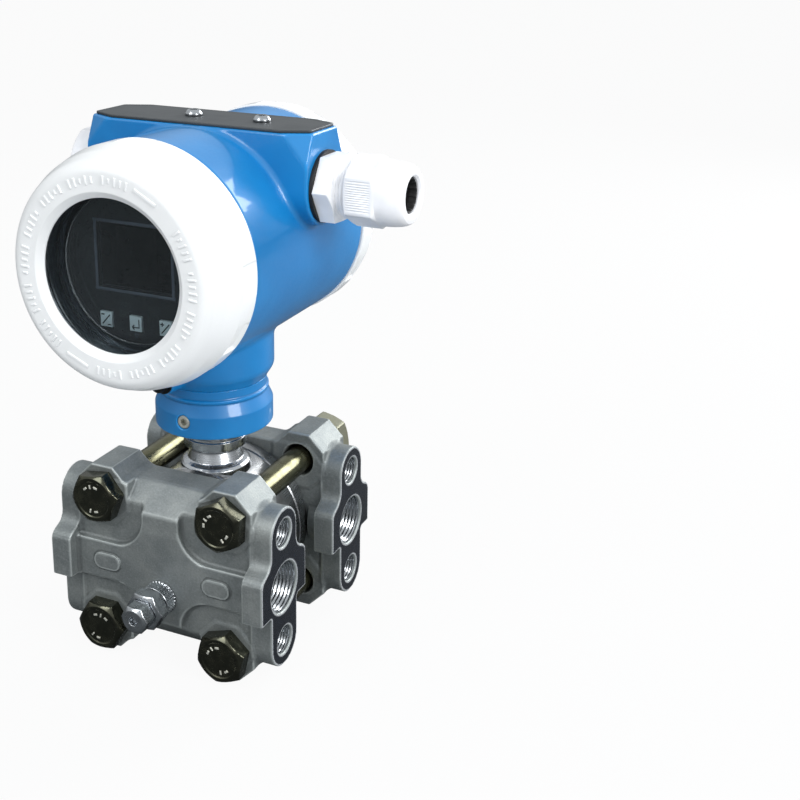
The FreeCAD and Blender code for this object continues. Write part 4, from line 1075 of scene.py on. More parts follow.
@dataclass
class Flanges:
    """The cast process flanges: the front one, whose outside faces -Y, and its mirror image."""

    half_core: float = 35.5
    half_height: float = 31.0
    shoulder: float = 24.0
    inner: float = 18.5
    seat: float = 36.0
    outer: float = 38.5
    half_length: float = 43.0
    port_y: float = 27.0
    tapping_z: float = 20.65
    boss_width: float = 21.2
    port_radius: float = 9.0
    tap_radii: tuple[tuple[int, float], ...] = ((-1, 4.3), (1, 5.0))
    lobe: float = 9.2
    bolt_bore: float = 6.2
    passage: float = 3.0
    vent_z: float = -8.5
    vent_bore: float = 5.0
    cell: float = 0.62

    def body(self) -> Solid:
        """Return the plate with its bolt bosses, from the inner face to the bolt seats."""
        slope = self.half_height - self.shoulder
        w, h = self.half_core, self.half_height
        plate = rounded([(w, -self.shoulder, 2), (w, self.shoulder, 2), (w - slope, h, 2),
                         (slope - w, h, 2), (-w, self.shoulder, 2), (-w, -self.shoulder, 2),
                         (slope - w, -h, 2), (w - slope, -h, 2)], closed=True, steps=3)
        solid = prism(Axis.Y, plate, -self.seat, -self.inner, 0.8)
        corner = self.boss_width / 2 / math.cos(math.pi / 8)
        angle = np.radians(22.5 + 45 * np.arange(8))
        octagon = np.stack([np.cos(angle), np.sin(angle)], axis=1) * corner
        for x, z in BOLTS:
            boss = prism(Axis.Y, octagon + (x, z), -self.seat, -self.inner, 0.5)
            solid = solid.join(boss, 1.6)
        return solid

    def band(self) -> Solid:
        """Return the raised cross whose arms widen in arcs round the bolt seats."""
        low, high = -self.outer, -self.seat + 2.0
        arm, bend = 7.5, 12.0
        across = block((-self.half_core, low, -arm), (self.half_core, high, arm), 0.0)
        upright = block((-arm, low, -self.half_height), (arm, high, self.half_height), 0.0)
        sides = across.join(upright, bend)
        return sides.common(slab(Axis.Y, low, high), 0.9)

    def end_pad(self, side: int) -> Solid:
        """Return the lobed pad at one end that carries the port and the tapped holes."""
        y, lobe = -self.port_y, self.lobe
        low, high = sorted(((self.half_length - 8.0) * side, self.half_length * side))
        stem = block((-FAR, y - lobe, -self.tapping_z), (FAR, y + lobe, self.tapping_z))
        for z in (-self.tapping_z, self.tapping_z):
            stem = stem.join(cylinder(Axis.X, (y, z), lobe, -FAR, FAR))
        outline = rounded([(y - 16, -7.5, 0.6), (y + 16, -7.5, 0.6), (y + 16, 10.0, 3.5),
                           (y - 16, 10.0, 3.5)], closed=True, steps=5)
        wings = prism(Axis.X, outline, -FAR, FAR)
        upper, lower = stem.join(wings, 5.5), stem.join(wings, 1.2)
        pad = Solid(lambda p: np.where(p[..., 2] > 1.0, upper.distance(p), lower.distance(p)))
        return pad.common(slab(Axis.X, low, high), 0.4)

    def slopes(self) -> Iterable[Solid]:
        """Yield the wedges cut off above and below the band, between the bosses."""
        half = BOLTS[-1][0] - self.boss_width / 2
        for z, up in ((22.0, 1.0), (-19.0, -1.0)):
            wedge = half_space((0, -self.outer, z), (0, 1, -up))
            yield wedge.common(slab(Axis.X, -half, half), 1.2)

    def solid(self) -> Solid:
        """Return the finished casting with its drilled ends."""
        solid = self.body().join(self.band(), 1.4)
        for wedge in self.slopes():
            solid = solid.cut(wedge, 0.8)
        for side in (-1, 1):
            solid = solid.join(self.end_pad(side), 1.6)
        for x in (-22.4, 22.4):
            solid = solid.join(self.oval(x, 3.2, 2.3), 0.3)
        for place in BOLTS:
            solid = solid.cut(cylinder(Axis.Y, place, self.bolt_bore, -FAR, 0), 0.4)
        for side, radius in self.tap_radii:
            for z in (-self.tapping_z, self.tapping_z):
                solid = solid.cut(self.drilled(side, z, radius, 10.0, 2.6), 0.7)
        centre = (-self.port_y, 0)
        solid = solid.join(cylinder(Axis.X, centre, self.port_radius + 1.6, 29.3, 39.0, 0.5), 0.8)
        solid = solid.cut(self.drilled(1, 0.0, self.port_radius, 13.2, 3.6), 0.8)
        solid = solid.cut(cylinder(Axis.X, centre, self.passage, 0.0, self.half_length - 10))
        vent = cylinder(Axis.Y, (0, self.vent_z), self.vent_bore, -FAR, -30)
        return solid.cut(vent, 0.4)

    def oval(self, x: float, radius: float, straight: float) -> Solid:
        """Return a bare raised oval on the band, round at both ends of a straight part."""
        low, high = -self.outer - 0.6, -37
        oval = block((x - straight, low, -radius), (x + straight, high, radius))
        for end in (-straight, straight):
            oval = oval.join(cylinder(Axis.Y, (x + end, 0), radius, low, high))
        return oval.common(slab(Axis.Y, low, high), 0.35)

    def drilled(self, side: int, z: float, radius: float, depth: float, point: float) -> Solid:
        """Return a drilled hole with its cone, from one end face."""
        mouth, floor = (self.half_length + 5) * side, (self.half_length - depth) * side
        tip = (self.half_length - depth - point) * side
        corners = np.array([(mouth, -1), (mouth, radius), (floor, radius), (tip, 0), (tip, -1)])
        return turned(Axis.X, (-self.port_y, z), corners)

    def threads(self) -> Skin:
        """Return the thread turns that line the port and the tapped holes."""
        bores = [(1, 0.0, self.port_radius, 11.6, 1.41, 0.5)]
        for side, radius in self.tap_radii:
            for z in (-self.tapping_z, self.tapping_z):
                bores.append((side, z, radius, 9.0, 1.06, 0.36))
        mouth = self.half_length - 0.9
        skins = []
        for side, z, radius, length, pitch, depth in bores:
            low, high = sorted(((mouth - length) * side, mouth * side))
            wall = [(low, radius + 0.15), (low, radius - 0.02),
                    (high, radius - 0.02), (high, radius + 0.15)]
            skins.append(revolve(Line(Axis.X, -self.port_y, z), wall, pitch / 8, 72,
                                 helix(pitch, depth, low, high), True))
        return merged(skins)

    def build(self) -> None:
        """Make both castings and their threads."""
        low = (-self.half_length - 1.5, -self.port_y - 17.5, -37.3)
        high = (self.half_length + 1.5, -self.port_y + 17.5, 37.3)
        skin, threads = skin_of(self.solid(), low, high, self.cell), self.threads()
        for side, casting, bores in (("front", skin, threads),
                                     ("rear", moved(skin, MIRROR), moved(threads, MIRROR))):
            fit(side + "_casting", casting, Body.PROCESS, "cast_steel",
                [side + "_flange"])
            fit(side + "_threads", bores, Body.PROCESS, "bright_steel", crease=25)


@dataclass
class FlangeBolts:
    """The through bolts that clamp both flanges, and their nuts."""

    seat: float = 36.0
    across: float = 17.0
    head: float = 6.0
    nut: float = 9.0
    tip: float = 1.5
    radius: float = 5.0

    def each(self, outline: Iterable[Corner], longest: float, segments: int,
             shaping_of: Callable[[int], Shaping], closed: bool = False) -> Skin:
        """Return an outline turned about every bolt, shaped by shaping_of(its number)."""
        return merged([revolve(Line(Axis.Y, x, z), outline, longest, segments,
                               shaping_of(number), closed)
                       for number, (x, z) in enumerate(BOLTS)])

    def ticks(self) -> Skin:
        """Return small raised ticks near each head's rim, in a plain pattern."""
        skins = []
        for number, (x, z) in enumerate(BOLTS):
            for step, angle in enumerate((52, 80, 108, 232, 262)):
                turn = math.radians(angle + 23 * number)
                centre = (x + 4.7 * math.cos(turn), -self.seat - self.head + 0.4,
                          z + 4.7 * math.sin(turn))
                size = (1.5, 0.6, 0.4) if step % 2 else (0.8, 1.5, 0.4)
                skins.append(cushion(centre, math.degrees(turn), size, 0.22))
        return merged(skins)

    def build(self) -> None:
        """Make heads, ticks, shanks with their threads, and nuts."""
        seat, top = -self.seat, -self.seat - self.head
        # A head's cone is cut by six flats, and its top is dished a little.
        head = [(seat, 0), (seat, 8.0, 0.2), (seat - 0.5, 8.6), (seat - 0.5, 9.9),
                (top + 1.5, 9.9), (top, 7.9, 0.5), (top, 6.9, 0.3), (top + 0.35, 6.4, 0.4),
                (top + 0.35, 0)]
        skin = self.each(head, 0.5, 120, lambda number: flats(self.across, 6, 90 + 9 * number))
        fit("bolt_heads", skin, Body.PROCESS, "bolt_steel", ["flange_bolts"], 28)
        fit("bolt_head_ticks", self.ticks(), Body.PROCESS, "worn_mark")
        r, low, high = self.radius, self.seat, self.seat + self.nut
        end = high + self.tip
        shank = [(seat, 0), (seat, r), (end - 14, r), (end - 0.8, r, 0.1), (end, r - 0.8), (end, 0)]
        skin = self.each(shank, 0.5, 40, lambda _: helix(1.5, 0.55, end - 14, end))
        fit("bolt_shanks", skin, Body.PROCESS, "passivated")
        nut = [(low, r + 0.05), (low, 7.9, 0.4), (low + 1.3, 9.9), (high - 1.3, 9.9),
               (high, 7.9, 0.4), (high, r + 0.8), (high - 0.7, r + 0.05)]
        skin = self.each(nut, 0.6, 96, lambda number: flats(self.across, 6, 90 + 14 * number), True)
        fit("bolt_nuts", skin, Body.PROCESS, "nut_steel", ["flange_nuts"], 28)


@dataclass
class Vent:
    """A vent valve: knurled collar, hexagon and turning stem. Outside is -Y unless turned."""

    prefix: str
    stem_body: Body
    turn: float
    z: float = -8.5
    face: float = 38.5
    collar: float = 6.0
    hexagon: float = 5.5
    stem: float = 6.0

    def build(self) -> None:
        """Make the fixed body and the stem."""
        line, turn = Line(Axis.Y, 0.0, self.z), about_neck(self.turn)
        y0 = -self.face
        y1 = y0 - self.collar
        y2 = y1 - self.hexagon
        y3 = y2 - self.stem
        knurled = chained(waves(30, 0.55, y1 + 0.9, y0 - 0.5, 0.7),
                          helix(1.3, 0.16, y1 + 0.8, y0 - 0.3))
        collar = [(y0 + 5, 3.05), (y0 + 5, 4.9), (y0, 4.9), (y0, 6.3, 0.3), (y1 + 0.5, 6.3, 0.3),
                  (y1 + 0.5, 5.2), (y1, 5.2), (y1, 3.05)]
        nut = [(y1, 3.05), (y1, 6.0, 0.3), (y1 - 0.6, 7.4), (y2 + 1.0, 7.4), (y2, 5.7, 0.4),
               (y2, 3.05)]
        body = merged([revolve(line, collar, 0.2, 312, knurled, True),
                       revolve(line, nut, 0.3, 96, flats(12.7, 6, 90), True)])
        fit(self.prefix + "_vent_collar", moved(body, turn), Body.PROCESS, "bright_steel",
            [self.prefix + "_vent_body"], 30)
        stem = [(y2 + 16, 0), (y2 + 16, 3), (y2, 3), (y2, 4.4, 0.2), (y2 - 0.4, 5.4),
                (y3 + 1.2, 5.4), (y3, 3.9, 0.6), (y3, 1.6, 0.3), (y3 + 1.5, 1.2), (y3 + 1.5, 0)]
        skin = revolve(line, stem, 0.3, 96, flats(9.5, 6, 90))
        fit(self.prefix + "_vent_spindle", moved(skin, turn), self.stem_body, "bright_steel",
            [self.prefix + "_vent_stem"], 30)


@dataclass
class Sensor:
    """The turned cell between the flanges, its welded stem and the threaded spigot."""

    radius: float = 28.9
    half: float = 18.5
    spigot: float = 11.6
    spigot_low: float = 35.0
    spigot_high: float = 68.0

    def build(self) -> None:
        """Make the cell with its weld beads, then the stem and spigot."""
        r, h = self.radius, self.half
        cell = [(-h, 0), (-h, r - 0.8), (0.8 - h, r), (-12.6, r, 0.3), (-12.1, r - 0.5, 0.3),
                (-11.6, r, 0.3), (11.6, r, 0.3), (12.1, r - 0.5, 0.3), (12.6, r, 0.3),
                (h - 0.8, r), (h, r - 0.8), (h, 0)]
        fit("sensor_cell", revolve(Line(Axis.Y), cell, 1.2, 240), Body.PROCESS, "cell_steel",
            ["sensor_module"], 25)
        s, low, high = self.spigot, self.spigot_low, self.spigot_high
        neck = [(24.0, 0), (24.0, 13.4), (r - 0.4, 12.8, 0.6), (r + 0.5, 12.0, 0.5),
                (r + 1.3, 10.2, 1.2), (low - 0.9, 8.5, 3.0), (low, 8.5), (low, s - 0.8, 0.1),
                (low + 0.8, s, 0.3), (low + 4.0, s, 0.2), (low + 4.4, s - 0.5, 0.2),
                (low + 5.2, s - 0.5, 0.2), (low + 5.6, s, 0.2), (high - 0.8, s),
                (high, s - 0.8), (high, 0)]
        weld = waves(30, 0.07, r - 0.3, r + 1.7)
        fit("sensor_spigot", revolve(Line(Axis.Z), neck, 0.5, 180, weld), Body.PROCESS,
            "spigot_steel", crease=25)


# ---------------------------------------------------------------- housing

@dataclass
class Housing:
    """The blue casting: barrel, conduit saddle across its top, neck and collar."""

    radius: float = 40.0
    front: float = -37.9
    rear: float = 41.6
    axis_z: float = 114.5
    saddle_y: float = 3.0
    saddle_z: float = 135.8
    saddle_half: float = 13.5
    saddle_top: float = 154.9
    saddle_end: float = 43.5
    facet: Point = (9.0, 4.6, 10.5)
    joint: float = 62.4
    rim_bore: float = 36.0
    chamber: float = 34.0
    entry: float = 8.0
    spigot_bore: float = 11.65
    grub_z: float = 51.0
    grub_bore: float = 2.55
    cell: float = 0.85
    collar_cell: float = 0.48

    def saddle(self) -> Solid:
        """Return the bar that carries both conduit entries, round below and flat on top."""
        y, w = self.saddle_y, self.saddle_half
        sides = slab(Axis.Y, y - w, y + w).common(half_space((0, y, self.saddle_top),
                                                             (0, 0, 1)), 1.0)
        upper = sides.common(half_space((0, y, self.saddle_z), (0, 0, -1)))
        bar = upper.join(cylinder(Axis.X, (y, self.saddle_z), w, -FAR, FAR))
        bar = bar.common(slab(Axis.X, -self.saddle_end, self.saddle_end), 0.7)
        fx, fy, fz = self.facet
        for sx, sy in product((-1, 1), repeat=2):
            point = (self.saddle_end * sx, y + w * sy, self.saddle_top - fz)
            bar = bar.cut(half_space(point, (-sx / fx, -sy / fy, -1 / fz)), 0.5)
        return bar

    def neck(self) -> Solid:
        """Return the collar, its ledge, the waist and the flare into the barrel."""
        corners = [(45.1, -1), (45.1, 21.4, 0.7), (53.2, 21.4, 1.0), (57.6, 19.4, 1.4),
                   (58.1, 19.9, 0.3), (58.8, 19.9, 0.3), (59.2, 19.2, 0.4), (62.4, 19.2, 3.0),
                   (66.8, 22.0, 4.0), (92, 22.0), (92, -1)]
        return turned(Axis.Z, (0, 0), rounded(corners, closed=True, steps=4))

    def ground_boss(self) -> Solid:
        """Return the small round boss under the barrel that the ground screw stands on."""
        angle = math.radians(-10)
        out = np.array([math.sin(angle), -math.cos(angle)])
        side = np.array([out[1], -out[0]])

        def distance(p: Array) -> Array:
            along = p[..., 0] * out[0] + p[..., 1] * out[1]
            across = p[..., 0] * side[0] + p[..., 1] * side[1]
            round_part = np.hypot(across, p[..., 2] - 67.6) - 5.0
            return round_max(round_part, np.maximum(along - 26.5, 8 - along), 0.8)

        return Solid(distance)

    def solid(self) -> Solid:
        """Return the finished casting with its chambers and bores."""
        barrel = cylinder(Axis.Y, (0, self.axis_z), self.radius, self.front, self.rear, 1.2)
        solid = barrel.join(self.saddle(), 2.2).common(slab(Axis.Z, -FAR, self.saddle_top))
        solid = solid.join(self.neck(), 1.8).join(self.ground_boss(), 1.2)
        centre = (0, self.axis_z)
        for radius, low, high in ((self.rim_bore, -FAR, self.front + 10), (self.chamber, -FAR, -6),
                                  (self.rim_bore, self.rear - 10, FAR), (self.chamber, -2, FAR)):
            solid = solid.cut(cylinder(Axis.Y, centre, radius, low, high), 0.5)
        entry = cylinder(Axis.X, (self.saddle_y, self.saddle_z), self.entry, -FAR, FAR)
        solid = solid.cut(entry, 0.6)
        solid = solid.cut(cylinder(Axis.Z, (0, 0), self.spigot_bore, 40, 68), 0.5)
        return solid.cut(cylinder(Axis.Y, (0, self.grub_z), self.grub_bore, -40, -15), 0.5)

    def build(self) -> None:
        """Make the casting, parted under the flare of its neck."""
        solid, r = self.solid(), 23.5
        low = (-self.saddle_end - 1.5, self.front - 1.5, self.joint - 1.5)
        high = (self.saddle_end + 1.5, self.rear + 1.5, self.saddle_top + 1.5)
        upper = skin_of(solid.common(slab(Axis.Z, self.joint, FAR)), low, high, self.cell)
        fit("housing_casting", upper, Body.HOUSING, "housing_blue", ["housing"])
        lower = skin_of(solid.common(slab(Axis.Z, 0, self.joint)), (-r, -r, 43.5),
                        (r, r, self.joint + 1.5), self.collar_cell)
        fit("housing_collar", lower, Body.HOUSING, "housing_blue")


@dataclass
class Nameplate:
    """The bare plate on the saddle, its shallow rolled border and its two screws."""

    bottom: float = 154.9
    thickness: float = 1.0
    half_length: float = 42.5
    half_width: float = 13.0
    end_half: float = 8.6
    cut: float = 9.0
    y: float = 3.0
    screws: tuple[float, float] = (-7.5, 19.5)

    def outline(self, inset: float) -> Array:
        """Return the plate's outline, drawn in from its edge."""
        x, w, e = self.half_length - inset, self.half_width - inset, self.end_half - inset * 0.6
        corners = []
        for sx, sy in ((1, 1), (-1, 1), (-1, -1), (1, -1)):
            pair = [(x * sx, self.y + e * sy, 1.2), ((x - self.cut) * sx, self.y + w * sy, 2.0)]
            corners += pair if sx * sy > 0 else pair[::-1]
        return rounded(corners, closed=True, steps=5)

    def build(self) -> None:
        """Make the plate with a shallow rolled border, then the screws."""
        top = self.bottom + self.thickness
        plate = prism(Axis.Z, self.outline(0.0), self.bottom, top, 0.3)
        panel = prism(Axis.Z, self.outline(1.5), top - 0.12, top + 1)
        plate = plate.cut(panel, 0.12)
        margin = 1.0
        low = (-self.half_length - margin, self.y - self.half_width - margin, self.bottom - margin)
        high = (self.half_length + margin, self.y + self.half_width + margin, top + margin)
        fit("nameplate_blank", skin_of(plate, low, high, 0.36), Body.HOUSING, "plate_grey",
            ["nameplate"])
        skins = []
        for x in self.screws:
            head = [(top - 4, 0), (top - 4, 1.5), (top, 1.5), (top, 3.1, 0.2),
                    (top + 0.7, 3.15, 0.5), (top + 1.7, 2.5, 1.4), (top + 2.25, 1.7, 0.2),
                    (top + 0.9, 1.55), (top + 0.9, 0)]
            skins.append(revolve(Line(Axis.Z, x, self.y), head, 0.25, 72,
                                 within(0, 1.75, flats(2.7, 6, 20))))
        fit("nameplate_pan_screws", merged(skins), Body.HOUSING, "bright_steel",
            ["nameplate_screws"], 30)


@dataclass
class SmallScrews:
    """The ground screw below the barrel and the grub screw in the collar."""

    ground_turn: float = -10.0
    ground_z: float = 67.6
    ground_face: float = 26.5
    grub_y: float = -21.1
    grub_z: float = 51.0

    def build(self) -> None:
        """Make both screws."""
        y = -self.ground_face
        head = [(y + 7, 0), (y + 7, 2.0), (y, 2.0), (y, 4.6, 0.2), (y - 0.7, 4.6, 0.2),
                (y - 0.7, 3.5, 0.1), (y - 3.0, 3.55, 0.2), (y - 3.4, 3.2), (y - 3.4, 1.9, 0.1),
                (y - 1.3, 1.75), (y - 1.3, 0)]
        shaping = chained(within(0, 3.7, waves(36, 0.16, y - 3.1, y - 0.8)),
                          within(0, 1.95, flats(3.0, 6, 30)))
        skin = revolve(Line(Axis.Y, 0, self.ground_z), head, 0.3, 144, shaping)
        fit("ground_cap_screw", moved(skin, about_neck(self.ground_turn)), Body.HOUSING,
            "black_steel", ["ground_screw"], 30)
        y = self.grub_y
        grub = [(y + 8.6, 0), (y + 8.6, 2.45), (y + 0.4, 2.45), (y, 2.1, 0.1), (y, 1.6, 0.1),
                (y + 2.2, 1.5), (y + 2.2, 0)]
        skin = revolve(Line(Axis.Y, 0, self.grub_z), grub, 0.3, 72, within(0, 1.65, flats(2.5, 6)))
        fit("collar_set_screw", skin, Body.HOUSING, "worn_mark",
            ["collar_grub_screw"], 30)


# ---------------------------------------------------------------- covers and display

@dataclass
class Covers:
    """The windowed front cover and the blind rear cover, with alike lugs."""

    z: float = 114.5
    radius: float = 40.6
    valley: float = 39.6
    spigot: float = 35.95
    cavity: float = 32.6
    front: float = -38.2
    rear: float = 41.9
    face: float = -61.3
    window: float = 25.2
    bar_ring: float = 31.2
    lug_gaps: int = 12
    gap_half_angle: float = 7.5

    def front_outline(self) -> list[Corner]:
        """Return the front cover's closed outline."""
        s, r, w, y = self.spigot, self.radius, self.window, self.front
        return [(-29.9, self.cavity), (-29.9, s - 0.3), (-30.2, s), (-36.2, s), (-36.2, s - 1.5),
                (-38.2, s - 1.5), (y, r - 0.5, 0.2), (y - 0.5, r, 0.3), (-47.3, r, 2.0),
                (-54.0, 39.05, 6.0), (-59.3, 36.9, 5.0), (self.face, 34.2, 4.0),
                (self.face, 27.4, 0.7), (-59.4, w, 0.5), (-58.75, w, 0.2), (-58.75, 29.5),
                (-50.7, 29.5), (-50.7, self.cavity)]

    def rear_outline(self) -> list[Corner]:
        """Return the rear cover's outline."""
        s, r, y, back = self.spigot, self.radius, self.rear, self.rear + 14
        return [(back - 4, 0), (back - 4, self.cavity, 1.0), (33.6, self.cavity), (33.6, s - 0.3),
                (33.9, s), (39.9, s), (39.9, s - 1.5), (41.9, s - 1.5), (y, r - 0.5, 0.2),
                (y + 0.5, r, 0.3), (y + 8.2, r, 0.6), (y + 9.4, 40.0, 1.0),
                (back - 3, 39.6, 3.0), (back, 35.6, 3.0), (back, 30, 0.5), (back - 0.5, 29.3, 0.5),
                (back - 0.5, 0)]

    def window_parts(self) -> Iterable[tuple[str, list, str, str, list[str]]]:
        """Yield the pane, the band round its edge and the screwed ring behind it."""
        front, back, low = -58.7, -53.7, -50.7
        pane, wall = 28.9, 29.45
        yield ("window_pane", [(front, 0), (front, pane - 0.3), (front + 0.3, pane),
                               (back - 0.3, pane), (back, pane - 0.3), (back, 0)],
               "glass", "window", ["window_glass"])
        yield ("window_edge_band", [(front + 0.05, pane + 0.05), (front + 0.05, wall),
                                    (back, wall), (back, pane + 0.05)],
               "gloss_black", "black_seal", [])
        yield ("window_screw_ring", [(back + 0.02, wall - 3.0), (back + 0.02, wall), (low, wall),
                                     (low, wall - 2.4, 0.4), (low - 0.9, wall - 3.0, 0.3)],
               "gloss_black", "display_black", ["window_retaining_ring"])

    def dashes(self) -> Iterable[tuple[float, float, float]]:
        """Yield each raised bar on the bezel: its middle and length along the rim, its height.

        Long dashes sit at 61 and 246 degrees. Short plain ticks fill the arcs between them in
        groups whose spacing repeats, so that they say nothing.
        """
        for angle in (61.0, 246.0):
            yield angle, 8.6, 1.1
        for start, groups in ((-99.0, 6), (74.0, 7)):
            for group in range(groups):
                for step in range(5):
                    angle = start + group * 23.5 + step * 3.9
                    tall = (2.9, 2.3, 2.9, 1.6, 2.9)[(step + group) % 5]
                    yield angle, 0.75, tall

    def bars(self) -> Skin:
        """Return the raised bars on the bezel's face."""
        skins = []
        for degrees, length, height in self.dashes():
            angle = math.radians(degrees)
            centre = (self.bar_ring * math.cos(angle), self.face + 0.12,
                      self.z + self.bar_ring * math.sin(angle))
            skins.append(cushion(centre, degrees - 90, (length, height, 0.52), 0.22))
        return merged(skins)

    def build(self) -> None:
        """Make both covers."""
        line = Line(Axis.Y, 0, self.z)
        for side, body, low, high, *how in (
                ("front", Body.FRONT_COVER, -46.6, -39.4, self.front_outline(), 1.2, 540, True, 7),
                ("rear", Body.REAR_COVER, self.rear + 1.2, self.rear + 8.2, self.rear_outline(),
                 1.4, 480, False, 6)):
            outline, longest, segments, closed, steps = how
            gaps = lugs(self.lug_gaps, self.gap_half_angle, self.valley, low, high)
            skin = revolve(line, outline, longest, segments, gaps, closed, steps)
            fit(side + "_cover_shell", skin, body, "cover_white",
                [side + "_cover"], 32)
        fit("front_cover_bars", self.bars(), Body.FRONT_COVER, "cover_white")
        for name, outline, look, slot, node in self.window_parts():
            skin = revolve(line, outline, 0.6, 240, None, outline[0][1] > 0)
            fit(name, skin, Body.FRONT_COVER, look, node, 35)


@dataclass
class Display:
    """What shows through the window: stepped ring, framed display and three key icons."""

    z: float = 114.5
    face: float = -46.5
    step: float = 1.6
    radius: float = 31.0
    inner: float = 25.5
    lcd: Point = (27.6, 21.5, 2.8)
    keys: tuple[float, float, float] = (-11.4, 0.0, 11.4)
    key_z: float = -19.0
    pocket: tuple[float, float] = (4.9, 5.4)

    def frame_solid(self) -> Solid:
        """Return the printed plate with its display well and key pockets."""
        corners = rounded([(self.face, -1), (self.face, self.inner, 0.3),
                           (self.face + self.step, self.inner + 0.8, 0.3),
                           (self.face + self.step, self.radius - 0.2, 0.3),
                           (self.face + 4.9, self.radius - 0.2), (self.face + 4.9, -1)],
                          closed=True, steps=3)
        solid = turned(Axis.Y, (0, self.z), corners)
        width, height, rise = self.lcd
        mid = self.z + rise
        well = block((-width / 2, self.face - 1, mid - height / 2),
                     (width / 2, self.face + 1.2, mid + height / 2), 0.0)
        solid = solid.cut(well, 0.35)
        for x in self.keys:
            w, h, z = self.pocket[0] / 2, self.pocket[1] / 2, self.z + self.key_z
            pocket = block((x - w, self.face - 1, z - h), (x + w, self.face + 3.4, z + h))
            solid = solid.cut(pocket, 0.15)
        return solid

    def rim(self) -> Skin:
        """Return the low moulded ring round the plate's step."""
        y = self.face + self.step
        ring = [(y - 0.02, 29.0), (y - 0.9, 29.2, 0.3), (y - 0.9, 30.2, 0.3), (y + 0.4, 30.7)]
        return revolve(Line(Axis.Y, 0, self.z), ring, 0.5, 240, None, True)

    def ledges(self) -> Skin:
        """Return frame strips round the display well, painted lighter grey as highlight along their
        ledges, and a small triangle.
        """
        width, height, rise = self.lcd
        mid, y = self.z + rise, self.face - 0.02
        strips = [((0, y, mid + height / 2 + 0.75), (width + 3.0, 1.1, 0.28)),
                  ((0, y, mid - height / 2 - 0.75), (width + 3.0, 1.1, 0.28)),
                  ((-width / 2 - 0.75, y, mid), (1.1, height + 0.6, 0.28)),
                  ((width / 2 + 0.75, y, mid), (1.1, height + 0.6, 0.28))]
        skins = [cushion(centre, 0, size, 0.2) for centre, size in strips]
        z = self.z + self.key_z - 4.2
        tips = ((-0.8, z + 0.6), (0.8, z + 0.6), (0.0, z - 0.7))
        skins += [stroke(start, end, y, 0.28, 0.12, 0.05, 1.6)
                  for start, end in zip(tips, tips[1:] + tips[:1])]
        return merged(skins)

    def icon(self, name: str, x: float, body: Body, marks: Sequence[Corner]) -> None:
        """Make one pale key cap and the dark strokes printed on it.

        Args:
            name: the key's CAD node.
            x: the key's place.
            body: the key's body.
            marks: strokes as rows of (x0, z0, x1, z1) from the key's middle.
        """
        z = self.z + self.key_z
        cap = cushion((x, self.face + 2.0, z), 0, (4.6, 5.1, 2.55), 0.15)
        fit(name + "_cap", cap, body, "icon", [name])
        strokes = [stroke((x + x0, z + z0), (x + x1, z + z1), self.face - 0.56, 0.42, 0.04, 0.01)
                   for x0, z0, x1, z1 in marks]
        fit(name + "_mark", merged(strokes), body, "print_dark")

    def build(self) -> None:
        """Make the plate, its rings and frame, the display and the icons."""
        r = self.radius + 1
        skin = skin_of(self.frame_solid(), (-r, self.face - 1.0, self.z - r),
                       (r, self.face + 6.0, self.z + r), 0.45)
        fit("display_plate", skin, Body.HOUSING, "display_black",
            ["display_faceplate"])
        fit("display_ring", self.rim(), Body.HOUSING, "display_grey")
        fit("display_ledges", self.ledges(), Body.HOUSING, "display_grey")
        slash, low_bar = (-1.5, -1.7, 1.5, 1.7), (0.5, -1.75, 1.9, -1.75)
        arrow = [(1.3, 1.6, 1.3, -1.2), (1.5, -1.2, -1.3, -1.2), (-1.3, -1.2, -0.5, -0.4),
                 (-1.3, -1.2, -0.5, -2.0)]
        plus = [(-1.9, 1.3, -0.5, 1.3), (-1.2, 0.6, -1.2, 2.0)]
        self.icon("left_key", self.keys[0], Body.LEFT_KEY,
                  [slash, (-1.9, 1.6, -0.6, 1.6), low_bar])
        self.icon("middle_key", self.keys[1], Body.MIDDLE_KEY, arrow)
        self.icon("right_key", self.keys[2], Body.RIGHT_KEY, [slash, *plus, low_bar])


# ---------------------------------------------------------------- cable entries

